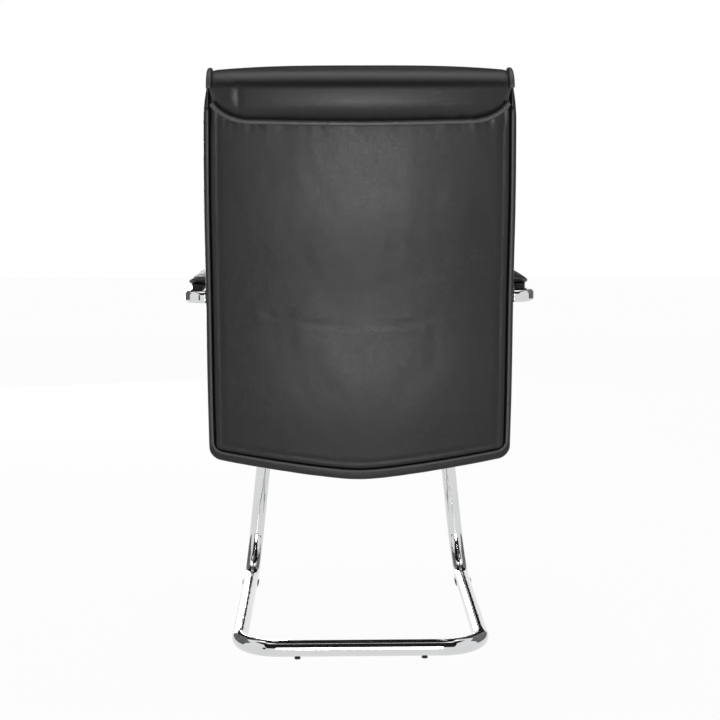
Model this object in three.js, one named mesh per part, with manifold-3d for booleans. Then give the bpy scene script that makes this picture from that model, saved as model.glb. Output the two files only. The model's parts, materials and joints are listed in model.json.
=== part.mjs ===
// A sled base visitor chair: an upholstered seat and high back on one bent chrome tube,
// with padded chrome arms.
// Millimetres, +Z up. The sitter faces -Y and the sitter's left is +X, so left and right
// are the sitter's own.

import * as THREE from "three";
import { mergeVertices } from "three/addons/utils/BufferGeometryUtils.js";
import Module from "manifold-3d";

const wasm = await Module();
wasm.setup();

// Clearances that several pieces share
const seam = 0.3; // between pieces that touch
const slack = 1; // round a piece that passes through a pocket or slot
const overrun = 6; // how far a cutter runs past what it cuts
const layerGap = 1; // between curved layers, whose facets differ

// The floor loop: one hollow tube, bent into rails, posts, runners and a rear bar
const tubeRadius = 14;
const tubeWall = 2;
const tubeSides = 12;
const stepsPerBend = 6;
const railSideInset = 77; // from the seat's side in to a rail's centreline
const runnerSplay = 35; // how much further out a runner is than its rail
const rearBarY = 268;
const loopLength = 535; // rear bar to the foot of the posts
const postBend = 80;
const cornerBend = 70;
const railInset = 22; // from the seat's rear edge to the rails' ends
const postTopShift = 6; // how far behind its foot the top of a post is

// Glides under the loop
const floorGap = 4; // under the tube
const studGlideRadius = 5.5;
const studGlideInset = 100; // from a runner's centreline in to a glide of the rear bar
const studStemRadius = 2.6;
const studStemLength = 5;
const clipLength = 26;
const clipWall = 2;
const clipEarRise = 1; // how far a clip's ears rise above the tube's centreline
const clipFootHalfWidth = 8;

// Tube plugs
const plugDepth = 14;
const plugCap = 3;

// The seat, which tips back a little
const seatTilt = THREE.MathUtils.degToRad(3);
const seatHeight = 346; // underside of the seat board above the floor, at y = 0
const seatWidth = 498;
const seatDepth = 450;
const seatRearY = 132;
const seatCorner = 42;
const seatRim = 88;
const seatCrown = 20;
const seatTuck = 9; // how far the sides draw in at the board and at the top edge
const seatWaterfall = 22; // how far the front edge rolls down
const boardThickness = 12;
const boardInset = 18; // from the cushion's edge to the board's, which the cushion wraps
const coverThickness = 1.2;
const coverInset = 15;

// Steel straps welded across the rails
const strapThickness = 4;
const strapWidth = 40;
const strapBendGap = 16; // from the end of a post's upper bend to the middle of the front strap
const strapBracketGap = 18; // between the rear strap and the bracket
const strapBoltInset = 52; // from a rail's middle

// Fasteners
const boltRadius = 3;
const boltHeadRadius = 6;
const boltHeadHeight = 3.6;
const socketRadius = 2.2;
const socketDepth = 2;
const boltSides = 6;
const nutBarrelRadius = 4.6;
const nutBarrelLength = 9;
const nutFlangeRadius = 9.5;
const nutFlange = 1.6;

// The back, which leans back
const recline = THREE.MathUtils.degToRad(11);
const backSetback = 73; // from the seat's rear edge to the foot of the back's board
const backDrop = 48; // and from the seat board's underside down to it
const backOverhang = 6.5; // how far each side of the back stands out past the seat's
const topTaperShare = 0.034; // how much narrower the back is at its top
const topTaperPower = 2.5; // how late that taper comes
const backHeight = 688;
const backCorner = 20;
const bottomSlopeShare = 0.137; // how steeply the bottom edge rises to each side
const bottomFlat = 40; // half the width over which its middle turns
const topBow = 3;
const planSagitta = 26; // how far the middle of the back is behind its sides
const lumbarDepth = 11;
const lumbarLow = 92;
const lumbarHigh = 500;
const shellThickness = 11;
const shellInset = 13;
const shellDrop = 24; // the shell's top below the back's, before the roll's inner face trims it
const borderWidth = 11; // boxing seen round the rear panel
const bottomBorder = 21;
const boxingLip = 1; // the boxing's rear edge behind the rear panel's inner face
const boxingFront = 28; // the boxing's reach in front of the shell's middle
const boxingTuck = 3;
const panelGap = 1.9; // room for the tongues' bolt heads under the rear panel
const panelRim = 7;
const panelCrown = 5;
const panelLap = 38; // how far the rear panel runs up under the flap
const rollSeamDrop = 188; // from the back's top down to the seam of main cushion and head roll
const cushionRim = 20;
const cushionCrown = 28;
const cushionTuck = 5;
const cushionLow = 2; // the main cushion's bottom edge above the boxing's
const weltLap = 16; // how far the welt's ends run up under the flap

// The head roll: it wraps over the top and ends as a flap behind
const rollSideInset = 9.5; // from the back's side to the roll's
const flapGap = 3.5; // between the rear panel's rim and the flap
const rollBendRise = 6;
const rollSideFront = 20; // thickness of the roll's sides at the front seam, the top and the flap
const rollSideTop = 16;
const rollSideRear = 8;
const rollTopThickness = 20; // thickness along the middle of the top
const rollFrontSwell = 30;
const rollRearSwell = 9;
const flapDrop = 77; // from the back's top down to the flap's straight lower edge
const flapEndReach = 69; // width of each rounded end of the flap
const flapEndDrop = 3; // from the bend over the top down to the flap's side ends
const flapTuck = 6; // how much narrower each side of the flap is than the top

// Piping
const pipingRadius = 4.2;
const weltRadius = 2.4;
const cordSides = 6;
const flapEndSteps = 6; // of the flap's piping round each end
const weltCornerSteps = 4;
const seatPipingRadius = 3.6;

// The bracket that joins the seat and the back
const bracketWidth = 80;
const bracketThickness = 5;
const bracketInset = 54; // from the seat's rear edge to the bracket's front edge
const bracketUp = 86; // top of the bracket on the back
const bracketBend = 9;
const bracketBoltHalfGap = 25;
const bracketBoltInset = 32; // from the seat's rear edge to the bolts into the seat
const bracketBackBoltUp = 68;

// Arms: a flat oval tube with a foot under the seat and a tongue in the back
const armWidth = 30;
const armHeight = 20;
const armCorner = 6;
const armWall = 2;
const armGap = 6.5; // from the side of the back or of the seat, whichever is wider
const armRise = 271; // from the seat board's underside to the arms' tops
const armFrontInset = 86; // from the seat's front edge to the middle of an arm's foot
const armLean = 5; // how far an upright leans in to its foot
const armRearBend = 21;
const armFrontBend = 52;
const footThickness = 5;
const footWidth = 42;
const footInset = 39; // from the seat board's side edge to a foot's inner end
const footBoltInnerInset = 28;
const footBoltOuterInset = 9;
const tongueThickness = 4;
const tongueHeight = 42;
const tongueInset = 79.5; // from the back's side to a tongue's inner end
const tongueShoulderInset = 19.5;
const tongueNeckHeight = 9;
const tongueNeckReach = 5.5; // how far the neck reaches into the arm bar, past the back's side
const tongueBoltHalfGap = 15;
const tongueBoltInset = 51.5;
const tongueGap = 1.1; // from the curved shell to the flat tongue's middle
const tongueSetback = 16.1; // how far behind the middle of the arm's rear leg a tongue lies

// Arm pads
const padLength = 262;
const padWidth = 56;
const padSetback = 77; // from the middle of the arm's rear leg to the pad's rear end
const padCorner = 24;
const padRim = 9;
const padCrown = 6;
const padTuck = 4;
const padBaseThickness = 4;
const padBaseInset = 5;
const padScrewShare = 0.3; // of the pad's length, from its middle to a screw
const padScrewRadius = 2.4;
const padScrewHeadRadius = 4.5;
const padScrewHeadHeight = 2.6;

// Shapes of the soft forms
const edgePower = 1.6; // draws a form's lines towards its edges
const domePower = 3.2; // how flat the middle of a crowned form is
const rollSegments = [16, 16, 1];
const rollEndLineCount = 4; // of the roll's lines across, those within each rounded end of its flap
const slabCornerLineCount = 1;
const boxingCornerLineCount = 2;
const slabSegments = [10, 12, 1];
const boxingSegments = [12, 14, 3];
const seatSegments = [12, 12, 4];
const cushionSegments = [12, 12, 3];
const padSegments = [6, 10, 3];
const rollFrontShare = 0.42; // of the head roll's wrap, up the front
const rollBendShare = 0.2; // and over the top
const seatPipingShare = 0.72; // of the seat's rim, from the board up to the piping
const frontPipingShares = [0, 0.16, 0.32, 0.48, 0.64, 0.8, 0.95];
const rollPipingShares = [0.05, 0.14, 0.23, 0.32, 0.38, 0.42, 0.46, 0.49, 0.52, 0.55, 0.58, 0.62];
const flapReachShares = [0.72, 0.48, 0.24, 0];
const weltLevelShares = [1, 0.85, 0.7, 0.55, 0.4, 0.25, 0.1, 0];
const weltReachShares = [1, 0.8, 0.6, 0.4, 0.2];

// Places that follow from these sizes
const railHalfGap = seatWidth / 2 - railSideInset;
const runnerHalfGap = railHalfGap + runnerSplay;
const studGlideHalfGap = runnerHalfGap - studGlideInset;
const postFootY = rearBarY - loopLength;
const seatFrontY = seatRearY - seatDepth;
const railRearY = seatRearY - railInset;
const bracketFrontY = seatRearY - bracketInset;
const bracketSeatBoltY = seatRearY - bracketBoltInset;
const strapFrontY = postFootY + postTopShift + postBend + strapBendGap;
const strapRearY = bracketFrontY - strapBracketGap - strapWidth / 2;
const strapBoltHalfGap = railHalfGap - strapBoltInset;
const backWidth = seatWidth + 2 * backOverhang;
const backY = seatRearY + backSetback;
const backZ = seatHeight - backDrop;
const rollSeamUp = backHeight - rollSeamDrop;
const flapUp = backHeight - flapDrop;
const shellTop = backHeight - shellDrop;
const panelTop = flapUp + panelLap;
const weltTop = flapUp + weltLap;
const panelFoot = shellThickness / 2 + tongueThickness + boltHeadHeight + panelGap;
const boxingRear = panelFoot + boxingLip;
const rollInnerRear = panelFoot + panelRim + flapGap;
const rollTopLine = backHeight - rollTopThickness - rollBendRise;
const rollHalfWidth = backWidth / 2 - rollSideInset;
const flapFlatHalfWidth = rollHalfWidth - flapEndReach;
const flapEndRise = rollTopLine - flapUp - flapEndDrop;
const armCentreX = Math.max(seatWidth, backWidth) / 2 + armGap + armWidth / 2;
const armTopZ = seatHeight + armRise;
const armFrontY = seatFrontY + armFrontInset;
const armFootX = armCentreX - armLean;
const boardHalfWidth = seatWidth / 2 - boardInset;
const footInnerX = boardHalfWidth - footInset;
const footBoltInnerX = boardHalfWidth - footBoltInnerInset;
const footBoltOuterX = boardHalfWidth - footBoltOuterInset;
const tongueInnerX = backWidth / 2 - tongueInset;
const tongueShoulderX = backWidth / 2 - tongueShoulderInset;
const tongueNeckOuterX = backWidth / 2 + tongueNeckReach;
const tongueBoltX = backWidth / 2 - tongueBoltInset;

const chrome = { color: 0xd6d8da, roughness: 0.12, metalness: 1 };
const steel = { color: 0x3a3c3f, roughness: 0.5, metalness: 0.8 };
const zinc = { color: 0xb4b7ba, roughness: 0.35, metalness: 1 };
const leather = { color: 0x1b1b1c, roughness: 0.45, metalness: 0 };
const piping = { color: 0x222223, roughness: 0.4, metalness: 0 };
const foam = { color: 0xd9d2b8, roughness: 0.95, metalness: 0 };
const plywood = { color: 0xc49a66, roughness: 0.7, metalness: 0 };
const blackPlastic = { color: 0x161617, roughness: 0.55, metalness: 0 };
const feltCloth = { color: 0x1c1c1d, roughness: 0.95, metalness: 0 };

const sides = [
  { name: "left", sign: 1 },
  { name: "right", sign: -1 },
];

function vector(x, y, z) {
  return new THREE.Vector3(x, y, z);
}

// Solids and booleans

function bare(geometry) {
  const plain = geometry.clone();
  plain.deleteAttribute("normal");
  plain.deleteAttribute("uv");
  return mergeVertices(plain);
}

function solidOf(geometry) {
  const merged = bare(geometry);
  const vertProperties = new Float32Array(merged.attributes.position.array);
  const triVerts = new Uint32Array(merged.index.array);
  return new wasm.Manifold(new wasm.Mesh({ numProp: 3, vertProperties, triVerts }));
}

function geometryOf(solid) {
  const mesh = solid.getMesh();
  const geometry = new THREE.BufferGeometry();
  geometry.setAttribute("position", new THREE.BufferAttribute(mesh.vertProperties, 3));
  geometry.setIndex(new THREE.BufferAttribute(mesh.triVerts, 1));
  return geometry;
}

function carve(geometry, cutters) {
  let solid = solidOf(geometry);
  for (const cutter of cutters) {
    solid = solid.subtract(solidOf(cutter));
  }
  return geometryOf(solid);
}

function common(geometry, other) {
  return geometryOf(solidOf(geometry).intersect(solidOf(other)));
}

function box(low, high) {
  const size = high.clone().sub(low);
  const middle = low.clone().add(high).multiplyScalar(1 / 2);
  return new THREE.BoxGeometry(size.x, size.y, size.z).translate(middle.x, middle.y, middle.z);
}

// A cylinder that stands on z = low
function upright(radius, low, high, x, y, around = boltSides) {
  const cylinder = new THREE.CylinderGeometry(radius, radius, high - low, around);
  cylinder.rotateX(Math.PI / 2);
  return cylinder.translate(x, y, (low + high) / 2);
}

function roundedRectangle(width, height, radius) {
  const x = width / 2 - radius;
  const y = height / 2 - radius;
  const shape = new THREE.Shape();
  shape.absarc(x, y, radius, 0, Math.PI / 2);
  shape.absarc(-x, y, radius, Math.PI / 2, Math.PI);
  shape.absarc(-x, -y, radius, Math.PI, (3 * Math.PI) / 2);
  shape.absarc(x, -y, radius, (3 * Math.PI) / 2, 2 * Math.PI);
  return shape;
}

function rectangle(width, height) {
  const [x, y] = [width / 2, height / 2];
  return new THREE.Shape([[-x, -y], [x, -y], [x, y], [-x, y]].map(([u, v]) => new THREE.Vector2(u, v)));
}

function circle(radius) {
  const shape = new THREE.Shape();
  shape.absarc(0, 0, radius, 0, 2 * Math.PI);
  return shape;
}

function plate(shape, thickness, curveSegments = 3) {
  return new THREE.ExtrudeGeometry(shape, { depth: thickness, bevelEnabled: false, curveSegments });
}

// Bent bars and cords

// A route that gives a tube its rings at its stations and nowhere else
class StationRoute extends THREE.Curve {
  constructor(stations) {
    super();
    this.stations = stations;
  }

  get steps() {
    return this.stations.length - 1;
  }

  getPointAt(share, target = vector(0, 0, 0)) {
    return target.copy(this.stations[Math.round(share * this.steps)].at);
  }

  getTangentAt(share, target = vector(0, 0, 0)) {
    return target.copy(this.stations[Math.round(share * this.steps)].heading);
  }
}

// Straight legs joined by round bends
class BentRoute extends StationRoute {
  constructor(corners, bends, steps = stepsPerBend) {
    super([{ at: corners[0], heading: corners[1].clone().sub(corners[0]).normalize() }]);
    for (let i = 1; i < corners.length - 1; i++) {
      this.addBend(corners[i - 1], corners[i], corners[i + 1], bends[i - 1], steps);
    }
    const last = corners[corners.length - 1];
    this.stations.push({ at: last, heading: last.clone().sub(corners[corners.length - 2]).normalize() });
  }

  addBend(previous, corner, next, bend, steps) {
    const before = corner.clone().sub(previous).normalize();
    const after = next.clone().sub(corner).normalize();
    const turn = before.angleTo(after);
    const axis = before.clone().cross(after).normalize();
    const start = corner.clone().addScaledVector(before, -bend * Math.tan(turn / 2));
    const centre = start.clone().addScaledVector(axis.clone().cross(before), bend);
    for (let k = 0; k <= steps; k++) {
      const swing = (turn * k) / steps;
      const at = start.clone().sub(centre).applyAxisAngle(axis, swing).add(centre);
      this.stations.push({ at, heading: before.clone().applyAxisAngle(axis, swing) });
    }
  }
}

function sweep(shape, route, curveSegments) {
  const { steps } = route;
  const along = { steps, extrudePath: route, bevelEnabled: false, curveSegments };
  return new THREE.ExtrudeGeometry(shape, along);
}

// Even steps of a quarter turn
function quarterTurn(steps) {
  return Array.from({ length: steps + 1 }, (_, k) => (Math.PI / 2) * (k / steps));
}

// A cord through points: at each it heads from the one before to the one after
function cord(points, radius) {
  const last = points.length - 1;
  const stations = points.map((at, i) => {
    const [before, after] = [points[Math.max(i - 1, 0)], points[Math.min(i + 1, last)]];
    return { at, heading: after.clone().sub(before).normalize() };
  });
  return sweep(circle(radius), new StationRoute(stations), cordSides / 2);
}

// Soft forms

// A closed block whose points, given as -1 to 1 along each axis, go where place puts them
function shapedBlock(segments, place) {
  const block = bare(new THREE.BoxGeometry(1, 1, 1, ...segments));
  const points = block.attributes.position;
  for (let i = 0; i < points.count; i++) {
    const at = place(2 * points.getX(i), 2 * points.getY(i), 2 * points.getZ(i));
    points.setXYZ(i, at.x, at.y, at.z);
  }
  return block;
}

function crowded(share, crowding) {
  return Math.sign(share) * (1 - Math.pow(1 - Math.abs(share), crowding));
}

// Moves even grid lines outwards so that a number of them lies within each corner
function cornerLined(share, { lines, count, half, corner }) {
  const gridStart = 1 - (2 * lines) / count;
  const start = 1 - corner / half;
  const reach = Math.abs(share);
  if (reach <= gridStart) {
    return (share * start) / gridStart;
  }
  return Math.sign(share) * (start + ((reach - gridStart) * (1 - start)) / (1 - gridStart));
}

// Draws a rectangle's corners in to a round
function cornered(x, y, halfWidth, halfHeight, radius) {
  const overX = Math.abs(x) - (halfWidth - radius);
  const overY = Math.abs(y) - (halfHeight - radius);
  if (overX <= 0 || overY <= 0) {
    return [x, y];
  }
  const pull = Math.max(overX, overY) / Math.hypot(overX, overY);
  const roundX = Math.sign(x) * (halfWidth - radius + overX * pull);
  const roundY = Math.sign(y) * (halfHeight - radius + overY * pull);
  return [roundX, roundY];
}

// A form's lines are crowded towards its edges or, where it has cornerLines, set by its corners
function placedShares(a, b, { halfWidth, halfHeight, corner, crowding, cornerLines, segments }) {
  if (!cornerLines) {
    return [crowded(a, crowding), crowded(b, crowding)];
  }
  const lines = cornerLines;
  const across = cornerLined(a, { lines, count: segments[0], half: halfWidth, corner });
  const along = cornerLined(b, { lines, count: segments[1], half: halfHeight, corner });
  return [across, along];
}

function dome(across, along) {
  const a = 1 - Math.pow(Math.abs(across), domePower);
  const b = 1 - Math.pow(Math.abs(along), domePower);
  return a * b;
}

// A flat-bottomed crowned form: x, y in its plan and height above its foot go through toPlace
function crownedForm(form, toPlace) {
  const { halfWidth, halfHeight, corner, rim, crown, tuck, segments } = form;
  return shapedBlock(segments, (a, b, c) => {
    const [across, along] = placedShares(a, b, form);
    const [x, y] = cornered(across * halfWidth, along * halfHeight, halfWidth, halfHeight, corner);
    const level = (c + 1) / 2;
    const drawnIn = tuck * Math.pow(Math.abs(c), 2);
    const height = rim * level + crown * dome(across, along) * level;
    return toPlace(x * (1 - drawnIn / halfWidth), y * (1 - drawnIn / halfHeight), height, along);
  });
}

// The two tilted frames that the upholstered parts stand in

const seatFrame = new THREE.Group();
seatFrame.position.set(0, 0, seatHeight);
seatFrame.rotation.x = -seatTilt;
seatFrame.updateMatrix();

const backFrame = new THREE.Group();
backFrame.position.set(0, backY, backZ);
backFrame.rotation.x = -recline;
backFrame.updateMatrix();

const chair = new THREE.Group();
chair.add(seatFrame, backFrame);

function onSeat(x, y, z) {
  return vector(x, y, z).applyMatrix4(seatFrame.matrix);
}

function fromBack(point) {
  return point.clone().applyMatrix4(backFrame.matrix);
}

const seatInverse = seatFrame.matrix.clone().invert();

function seenFrom(frame, geometry) {
  return geometry.clone().applyMatrix4(frame.matrix.clone().invert());
}

function addPiece(name, geometry, look, frame = chair) {
  const material = new THREE.MeshStandardMaterial(look);
  const mesh = new THREE.Mesh(geometry, material);
  mesh.name = name;
  frame.add(mesh);
  return mesh;
}

// Fasteners stand with the head's bearing face on z = 0 and the shank up

const boltSizes = { radius: boltRadius, headRadius: boltHeadRadius, headHeight: boltHeadHeight };
const padScrewSizes = {
  radius: padScrewRadius,
  headRadius: padScrewHeadRadius,
  headHeight: padScrewHeadHeight,
};

function boltGeometry(length, { radius, headRadius, headHeight } = boltSizes) {
  const profile = [
    [0, -headHeight + socketDepth],
    [radius * (socketRadius / boltRadius), -headHeight + socketDepth],
    [radius * (socketRadius / boltRadius), -headHeight],
    [headRadius, -headHeight],
    [headRadius, 0],
    [radius, 0],
    [radius, length],
    [0, length],
  ];
  const points = profile.map(([x, y]) => new THREE.Vector2(x, y));
  return new THREE.LatheGeometry(points, boltSides).rotateX(Math.PI / 2);
}

function nutGeometry() {
  const bore = boltRadius + seam;
  const profile = [
    [bore, 0],
    [nutBarrelRadius, 0],
    [nutBarrelRadius, nutBarrelLength - nutFlange],
    [nutFlangeRadius, nutBarrelLength - nutFlange],
    [nutFlangeRadius, nutBarrelLength],
    [bore, nutBarrelLength],
    [bore, 0],
  ];
  const points = profile.map(([x, y]) => new THREE.Vector2(x, y));
  return new THREE.LatheGeometry(points, boltSides).rotateX(Math.PI / 2);
}

// Heights under the seat board, in the seat's frame: dust cover, strap, rail
const coverLow = -seam - coverThickness;
const strapHigh = coverLow - seam;
const strapLow = strapHigh - strapThickness;
const railZ = strapLow - seam - tubeRadius;
const tubeFloorZ = floorGap + tubeRadius;
const boardHigh = boardThickness;
const nutLow = boardHigh - nutBarrelLength;
const strapEnds = [["front", strapFrontY], ["rear", strapRearY]];
const footEnds = [["inner", footBoltInnerX], ["outer", footBoltOuterX]];
const strapBolts = strapEnds.flatMap(([, y]) => sides.map(({ sign }) => [sign * strapBoltHalfGap, y]));
const bracketSeatBolts = sides.map(({ sign }) => [sign * bracketBoltHalfGap, bracketSeatBoltY]);
const footBolts = sides.flatMap(({ sign }) => footEnds.map(([, x]) => [sign * x, armFrontY]));

// The back's layers and what is bolted to its shell, in the back's frame
const backHalfWidth = backWidth / 2;
const innerCorner = backCorner - borderWidth / 2;
const shellFace = shellThickness / 2;
const panelHalfWidth = backHalfWidth - borderWidth - layerGap / 2;
const panelLow = bottomBorder + layerGap / 2;
const cushionRear = boxingFront + layerGap;
const bracketSag = planSagitta * Math.pow(bracketWidth / backWidth, 2);
const bracketMiddle = shellFace + seam + bracketSag + bracketThickness / 2;
const bracketBackBolts = sides.map(({ sign }) => sign * bracketBoltHalfGap);
const armZ = armTopZ - armHeight / 2;
const tongueMidX = (tongueInnerX + tongueShoulderX) / 2;
const tongueLean = Math.atan((2 * planSagitta * tongueMidX) / Math.pow(backHalfWidth, 2));

function baseRoute() {
  const half = [
    onSeat(railHalfGap, railRearY, railZ),
    onSeat(railHalfGap, postFootY + postTopShift, railZ),
    vector(runnerHalfGap, postFootY, tubeFloorZ),
    vector(runnerHalfGap, rearBarY, tubeFloorZ),
  ];
  const mirrored = half.map((point) => vector(-point.x, point.y, point.z)).reverse();
  const bends = [postBend, postBend, cornerBend];
  return new BentRoute([...half, ...mirrored], [...bends, ...bends.toReversed()]);
}

function addBase() {
  const section = circle(tubeRadius);
  section.holes.push(circle(tubeRadius - tubeWall));
  const route = baseRoute();
  const tube = sweep(section, route, tubeSides / 2);
  const stemHoles = sides.map(({ sign }) =>
    upright(studStemRadius + seam, 0, tubeFloorZ, sign * studGlideHalfGap, rearBarY),
  );
  addPiece("base_tube", carve(tube, stemHoles), chrome);
}

function addTubePlugs() {
  const stem = tubeRadius - tubeWall - slack;
  const profile = [
    [0, -plugDepth],
    [stem, -plugDepth],
    [stem, seam],
    [tubeRadius, seam],
    [tubeRadius - plugCap / 2, plugCap],
    [0, plugCap],
  ];
  const points = profile.map(([x, y]) => new THREE.Vector2(x, y));
  for (const { name, sign } of sides) {
    const plug = new THREE.LatheGeometry(points, tubeSides);
    plug.rotateY(Math.PI / tubeSides);
    const place = vector(sign * railHalfGap, railRearY, railZ);
    addPiece(`tube_plug_${name}`, plug, blackPlastic, seatFrame).position.copy(place);
  }
}

function addSeatStraps() {
  const length = 2 * (railHalfGap + tubeRadius);
  for (const [name, y] of strapEnds) {
    const blank = plate(rectangle(length, strapWidth), strapThickness);
    const holes = sides.map(({ sign }) =>
      upright(boltRadius + seam, -overrun, strapThickness + overrun, sign * strapBoltHalfGap, 0),
    );
    addPiece(`seat_strap_${name}`, carve(blank, holes), steel, seatFrame).position.set(0, y, strapLow);
  }
}

function addGlides() {
  const studProfile = [
    [0, 0],
    [studGlideRadius - floorGap / 4, 0],
    [studGlideRadius, floorGap / 4],
    [studGlideRadius, floorGap / 2],
    [studStemRadius, floorGap - seam],
    [studStemRadius, floorGap + studStemLength],
    [0, floorGap + studStemLength],
  ];
  const points = studProfile.map(([x, y]) => new THREE.Vector2(x, y));
  const outer = tubeRadius + seam + clipWall;
  const clipY = postFootY + postBend + clipLength / 2;
  for (const { name, sign } of sides) {
    const stud = new THREE.LatheGeometry(points, boltSides).rotateX(Math.PI / 2);
    addPiece(`glide_rear_${name}`, stud, blackPlastic).position.set(sign * studGlideHalfGap, rearBarY, 0);
    const ring = plate(circle(outer), clipLength, tubeSides);
    const foot = box(
      vector(-clipFootHalfWidth, -tubeFloorZ, 0),
      vector(clipFootHalfWidth, -tubeRadius, clipLength),
    );
    const bore = plate(circle(tubeRadius + seam), clipLength + 2 * overrun, tubeSides);
    bore.translate(0, 0, -overrun);
    const keep = box(vector(-outer, -tubeFloorZ, 0), vector(outer, clipEarRise, clipLength));
    const joined = geometryOf(solidOf(ring).add(solidOf(foot)));
    const clip = common(carve(joined, [bore]), keep).rotateX(Math.PI / 2);
    const place = vector(sign * runnerHalfGap, clipY + clipLength / 2, tubeFloorZ);
    addPiece(`glide_front_${name}`, clip, blackPlastic).position.copy(place);
  }
}

// Seat

const seatHalfWidth = seatWidth / 2;
const seatHalfDepth = (seatRearY - seatFrontY) / 2;
const seatMiddleY = (seatFrontY + seatRearY) / 2;

// The seat's outline drawn in by an inset
function seatOutline(inset) {
  return roundedRectangle(2 * (seatHalfWidth - inset), 2 * (seatHalfDepth - inset), seatCorner - inset);
}

function addSeatBoard() {
  const blank = plate(seatOutline(boardInset), boardThickness).translate(0, seatMiddleY, 0);
  const nutHoles = strapBolts.flatMap(([x, y]) => [
    upright(nutBarrelRadius + seam, -overrun, boardHigh + overrun, x, y),
    upright(nutFlangeRadius + seam, boardHigh - nutFlange - seam, boardHigh + overrun, x, y),
  ]);
  const boltHoles = [...bracketSeatBolts, ...footBolts].map(([x, y]) =>
    upright(boltRadius + seam, -overrun, boardHigh + overrun, x, y),
  );
  addPiece("seat_board", carve(blank, [...nutHoles, ...boltHoles]), plywood, seatFrame);
}

function addDustCover() {
  const blank = plate(seatOutline(coverInset), coverThickness).translate(0, seatMiddleY, coverLow);
  const holes = [...strapBolts, ...bracketSeatBolts, ...footBolts].map(([x, y]) =>
    upright(boltRadius + seam, coverLow - overrun, overrun, x, y),
  );
  addPiece("seat_dust_cover", carve(blank, holes), feltCloth, seatFrame);
}

const seatPipingZ = boardHigh + seam + seatRim * seatPipingShare;

function seatPiping(radius) {
  const x = seatHalfWidth - radius / 2;
  const [front, rear] = [seatFrontY + radius / 2, seatRearY - radius / 2];
  const corners = [
    vector(seam, rear, seatPipingZ),
    vector(x, rear, seatPipingZ),
    vector(x, front, seatPipingZ),
    vector(-x, front, seatPipingZ),
    vector(-x, rear, seatPipingZ),
    vector(-seam, rear, seatPipingZ),
  ];
  const route = new BentRoute(corners, corners.slice(2).map(() => seatCorner - radius / 2));
  return sweep(circle(radius), route, cordSides / 2);
}

function addSeatCushion() {
  const form = {
    halfWidth: seatHalfWidth,
    halfHeight: seatHalfDepth,
    corner: seatCorner,
    rim: boardThickness + seatRim,
    crown: seatCrown,
    tuck: seatTuck,
    crowding: edgePower,
    segments: seatSegments,
  };
  const blank = crownedForm(form, (x, y, height, along) => {
    const roll = Math.pow(Math.max(0, -along), 3) * (height / (form.rim + form.crown));
    return vector(x, y + seatMiddleY, height - seatWaterfall * roll);
  });
  const boardRoom = plate(seatOutline(boardInset - seam), boardThickness + seam + overrun);
  boardRoom.translate(0, seatMiddleY, -overrun);
  const cushion = carve(blank, [boardRoom, seatPiping(seatPipingRadius + seam)]);
  addPiece("seat_cushion", cushion, leather, seatFrame);
  addPiece("seat_piping", seatPiping(seatPipingRadius), piping, seatFrame);
}

function addStrapBolts() {
  const grip = strapThickness + coverThickness + 3 * seam;
  for (const [end, y] of strapEnds) {
    for (const { name, sign } of sides) {
      const x = sign * strapBoltHalfGap;
      const bolt = boltGeometry(grip + boardThickness - seam);
      addPiece(`strap_bolt_${end}_${name}`, bolt, zinc, seatFrame).position.set(x, y, strapLow - seam);
      addPiece(`tee_nut_${end}_${name}`, nutGeometry(), zinc, seatFrame).position.set(x, y, nutLow);
    }
  }
}

// Back: points are across from its middle, up from its lowest edge and to the front of its shell's middle

function liftsAt(across) {
  const reach = across / backHalfWidth;
  const foot = bottomSlopeShare * (Math.hypot(across, bottomFlat) - bottomFlat);
  return { foot, top: topBow * reach * reach };
}

function lumbarAt(up) {
  const share = (up - lumbarLow) / (lumbarHigh - lumbarLow);
  return share > 0 && share < 1 ? lumbarDepth * Math.pow(Math.sin(Math.PI * share), 2) : 0;
}

function onBack(across, up, front) {
  const reach = across / backHalfWidth;
  const { foot, top } = liftsAt(across);
  const level = up / backHeight;
  const behind = -planSagitta * reach * reach - lumbarAt(up) - front;
  const taper = topTaperShare * Math.pow(Math.max(0, level), topTaperPower);
  return vector(across * (1 - taper), behind, up + foot * (1 - level) - top * level);
}

// The up value that lands at height z of the back's frame
function upAt(across, z) {
  const { foot, top } = liftsAt(across);
  return (z - foot) / (1 - (foot + top) / backHeight);
}

// A board or pad of even thickness, bent to the back's shape
function backSlab({ halfWidth, low, high, corner, rear, front }) {
  const halfHeight = (high - low) / 2;
  const segments = slabSegments;
  const outline = { halfWidth, halfHeight, corner, cornerLines: slabCornerLineCount, segments };
  return shapedBlock(segments, (a, b, c) => {
    const [across, along] = placedShares(a, b, outline);
    const [x, y] = cornered(across * halfWidth, along * halfHeight, halfWidth, halfHeight, corner);
    return onBack(x, low + halfHeight + y, rear + ((front - rear) * (c + 1)) / 2);
  });
}

// The bracket's route: along the seat's underside, then up the front of the back's shell
function bracketRoute() {
  const low = fromBack(vector(0, -bracketMiddle, 0)).applyMatrix4(seatInverse);
  const high = fromBack(vector(0, -bracketMiddle, backHeight)).applyMatrix4(seatInverse);
  const level = strapHigh - bracketThickness / 2;
  const corner = low.clone().lerp(high, (level - low.z) / (high.z - low.z)).applyMatrix4(seatFrame.matrix);
  const corners = [onSeat(0, bracketFrontY, level), corner, fromBack(vector(0, -bracketMiddle, bracketUp))];
  return new BentRoute(corners, [bracketBend]);
}

function bracketBar(room) {
  const section = rectangle(bracketWidth + 2 * room, bracketThickness + 2 * room);
  return sweep(section, bracketRoute(), 1);
}

// A bolt hole through the shell and the bracket, and the room that the bolt's head needs in the foam
function shellBore(x) {
  const bore = upright(boltRadius + seam, -bracketMiddle - overrun, bracketMiddle + overrun, 0, 0);
  return bore.rotateX(Math.PI / 2).translate(x, 0, bracketBackBoltUp);
}

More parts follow.
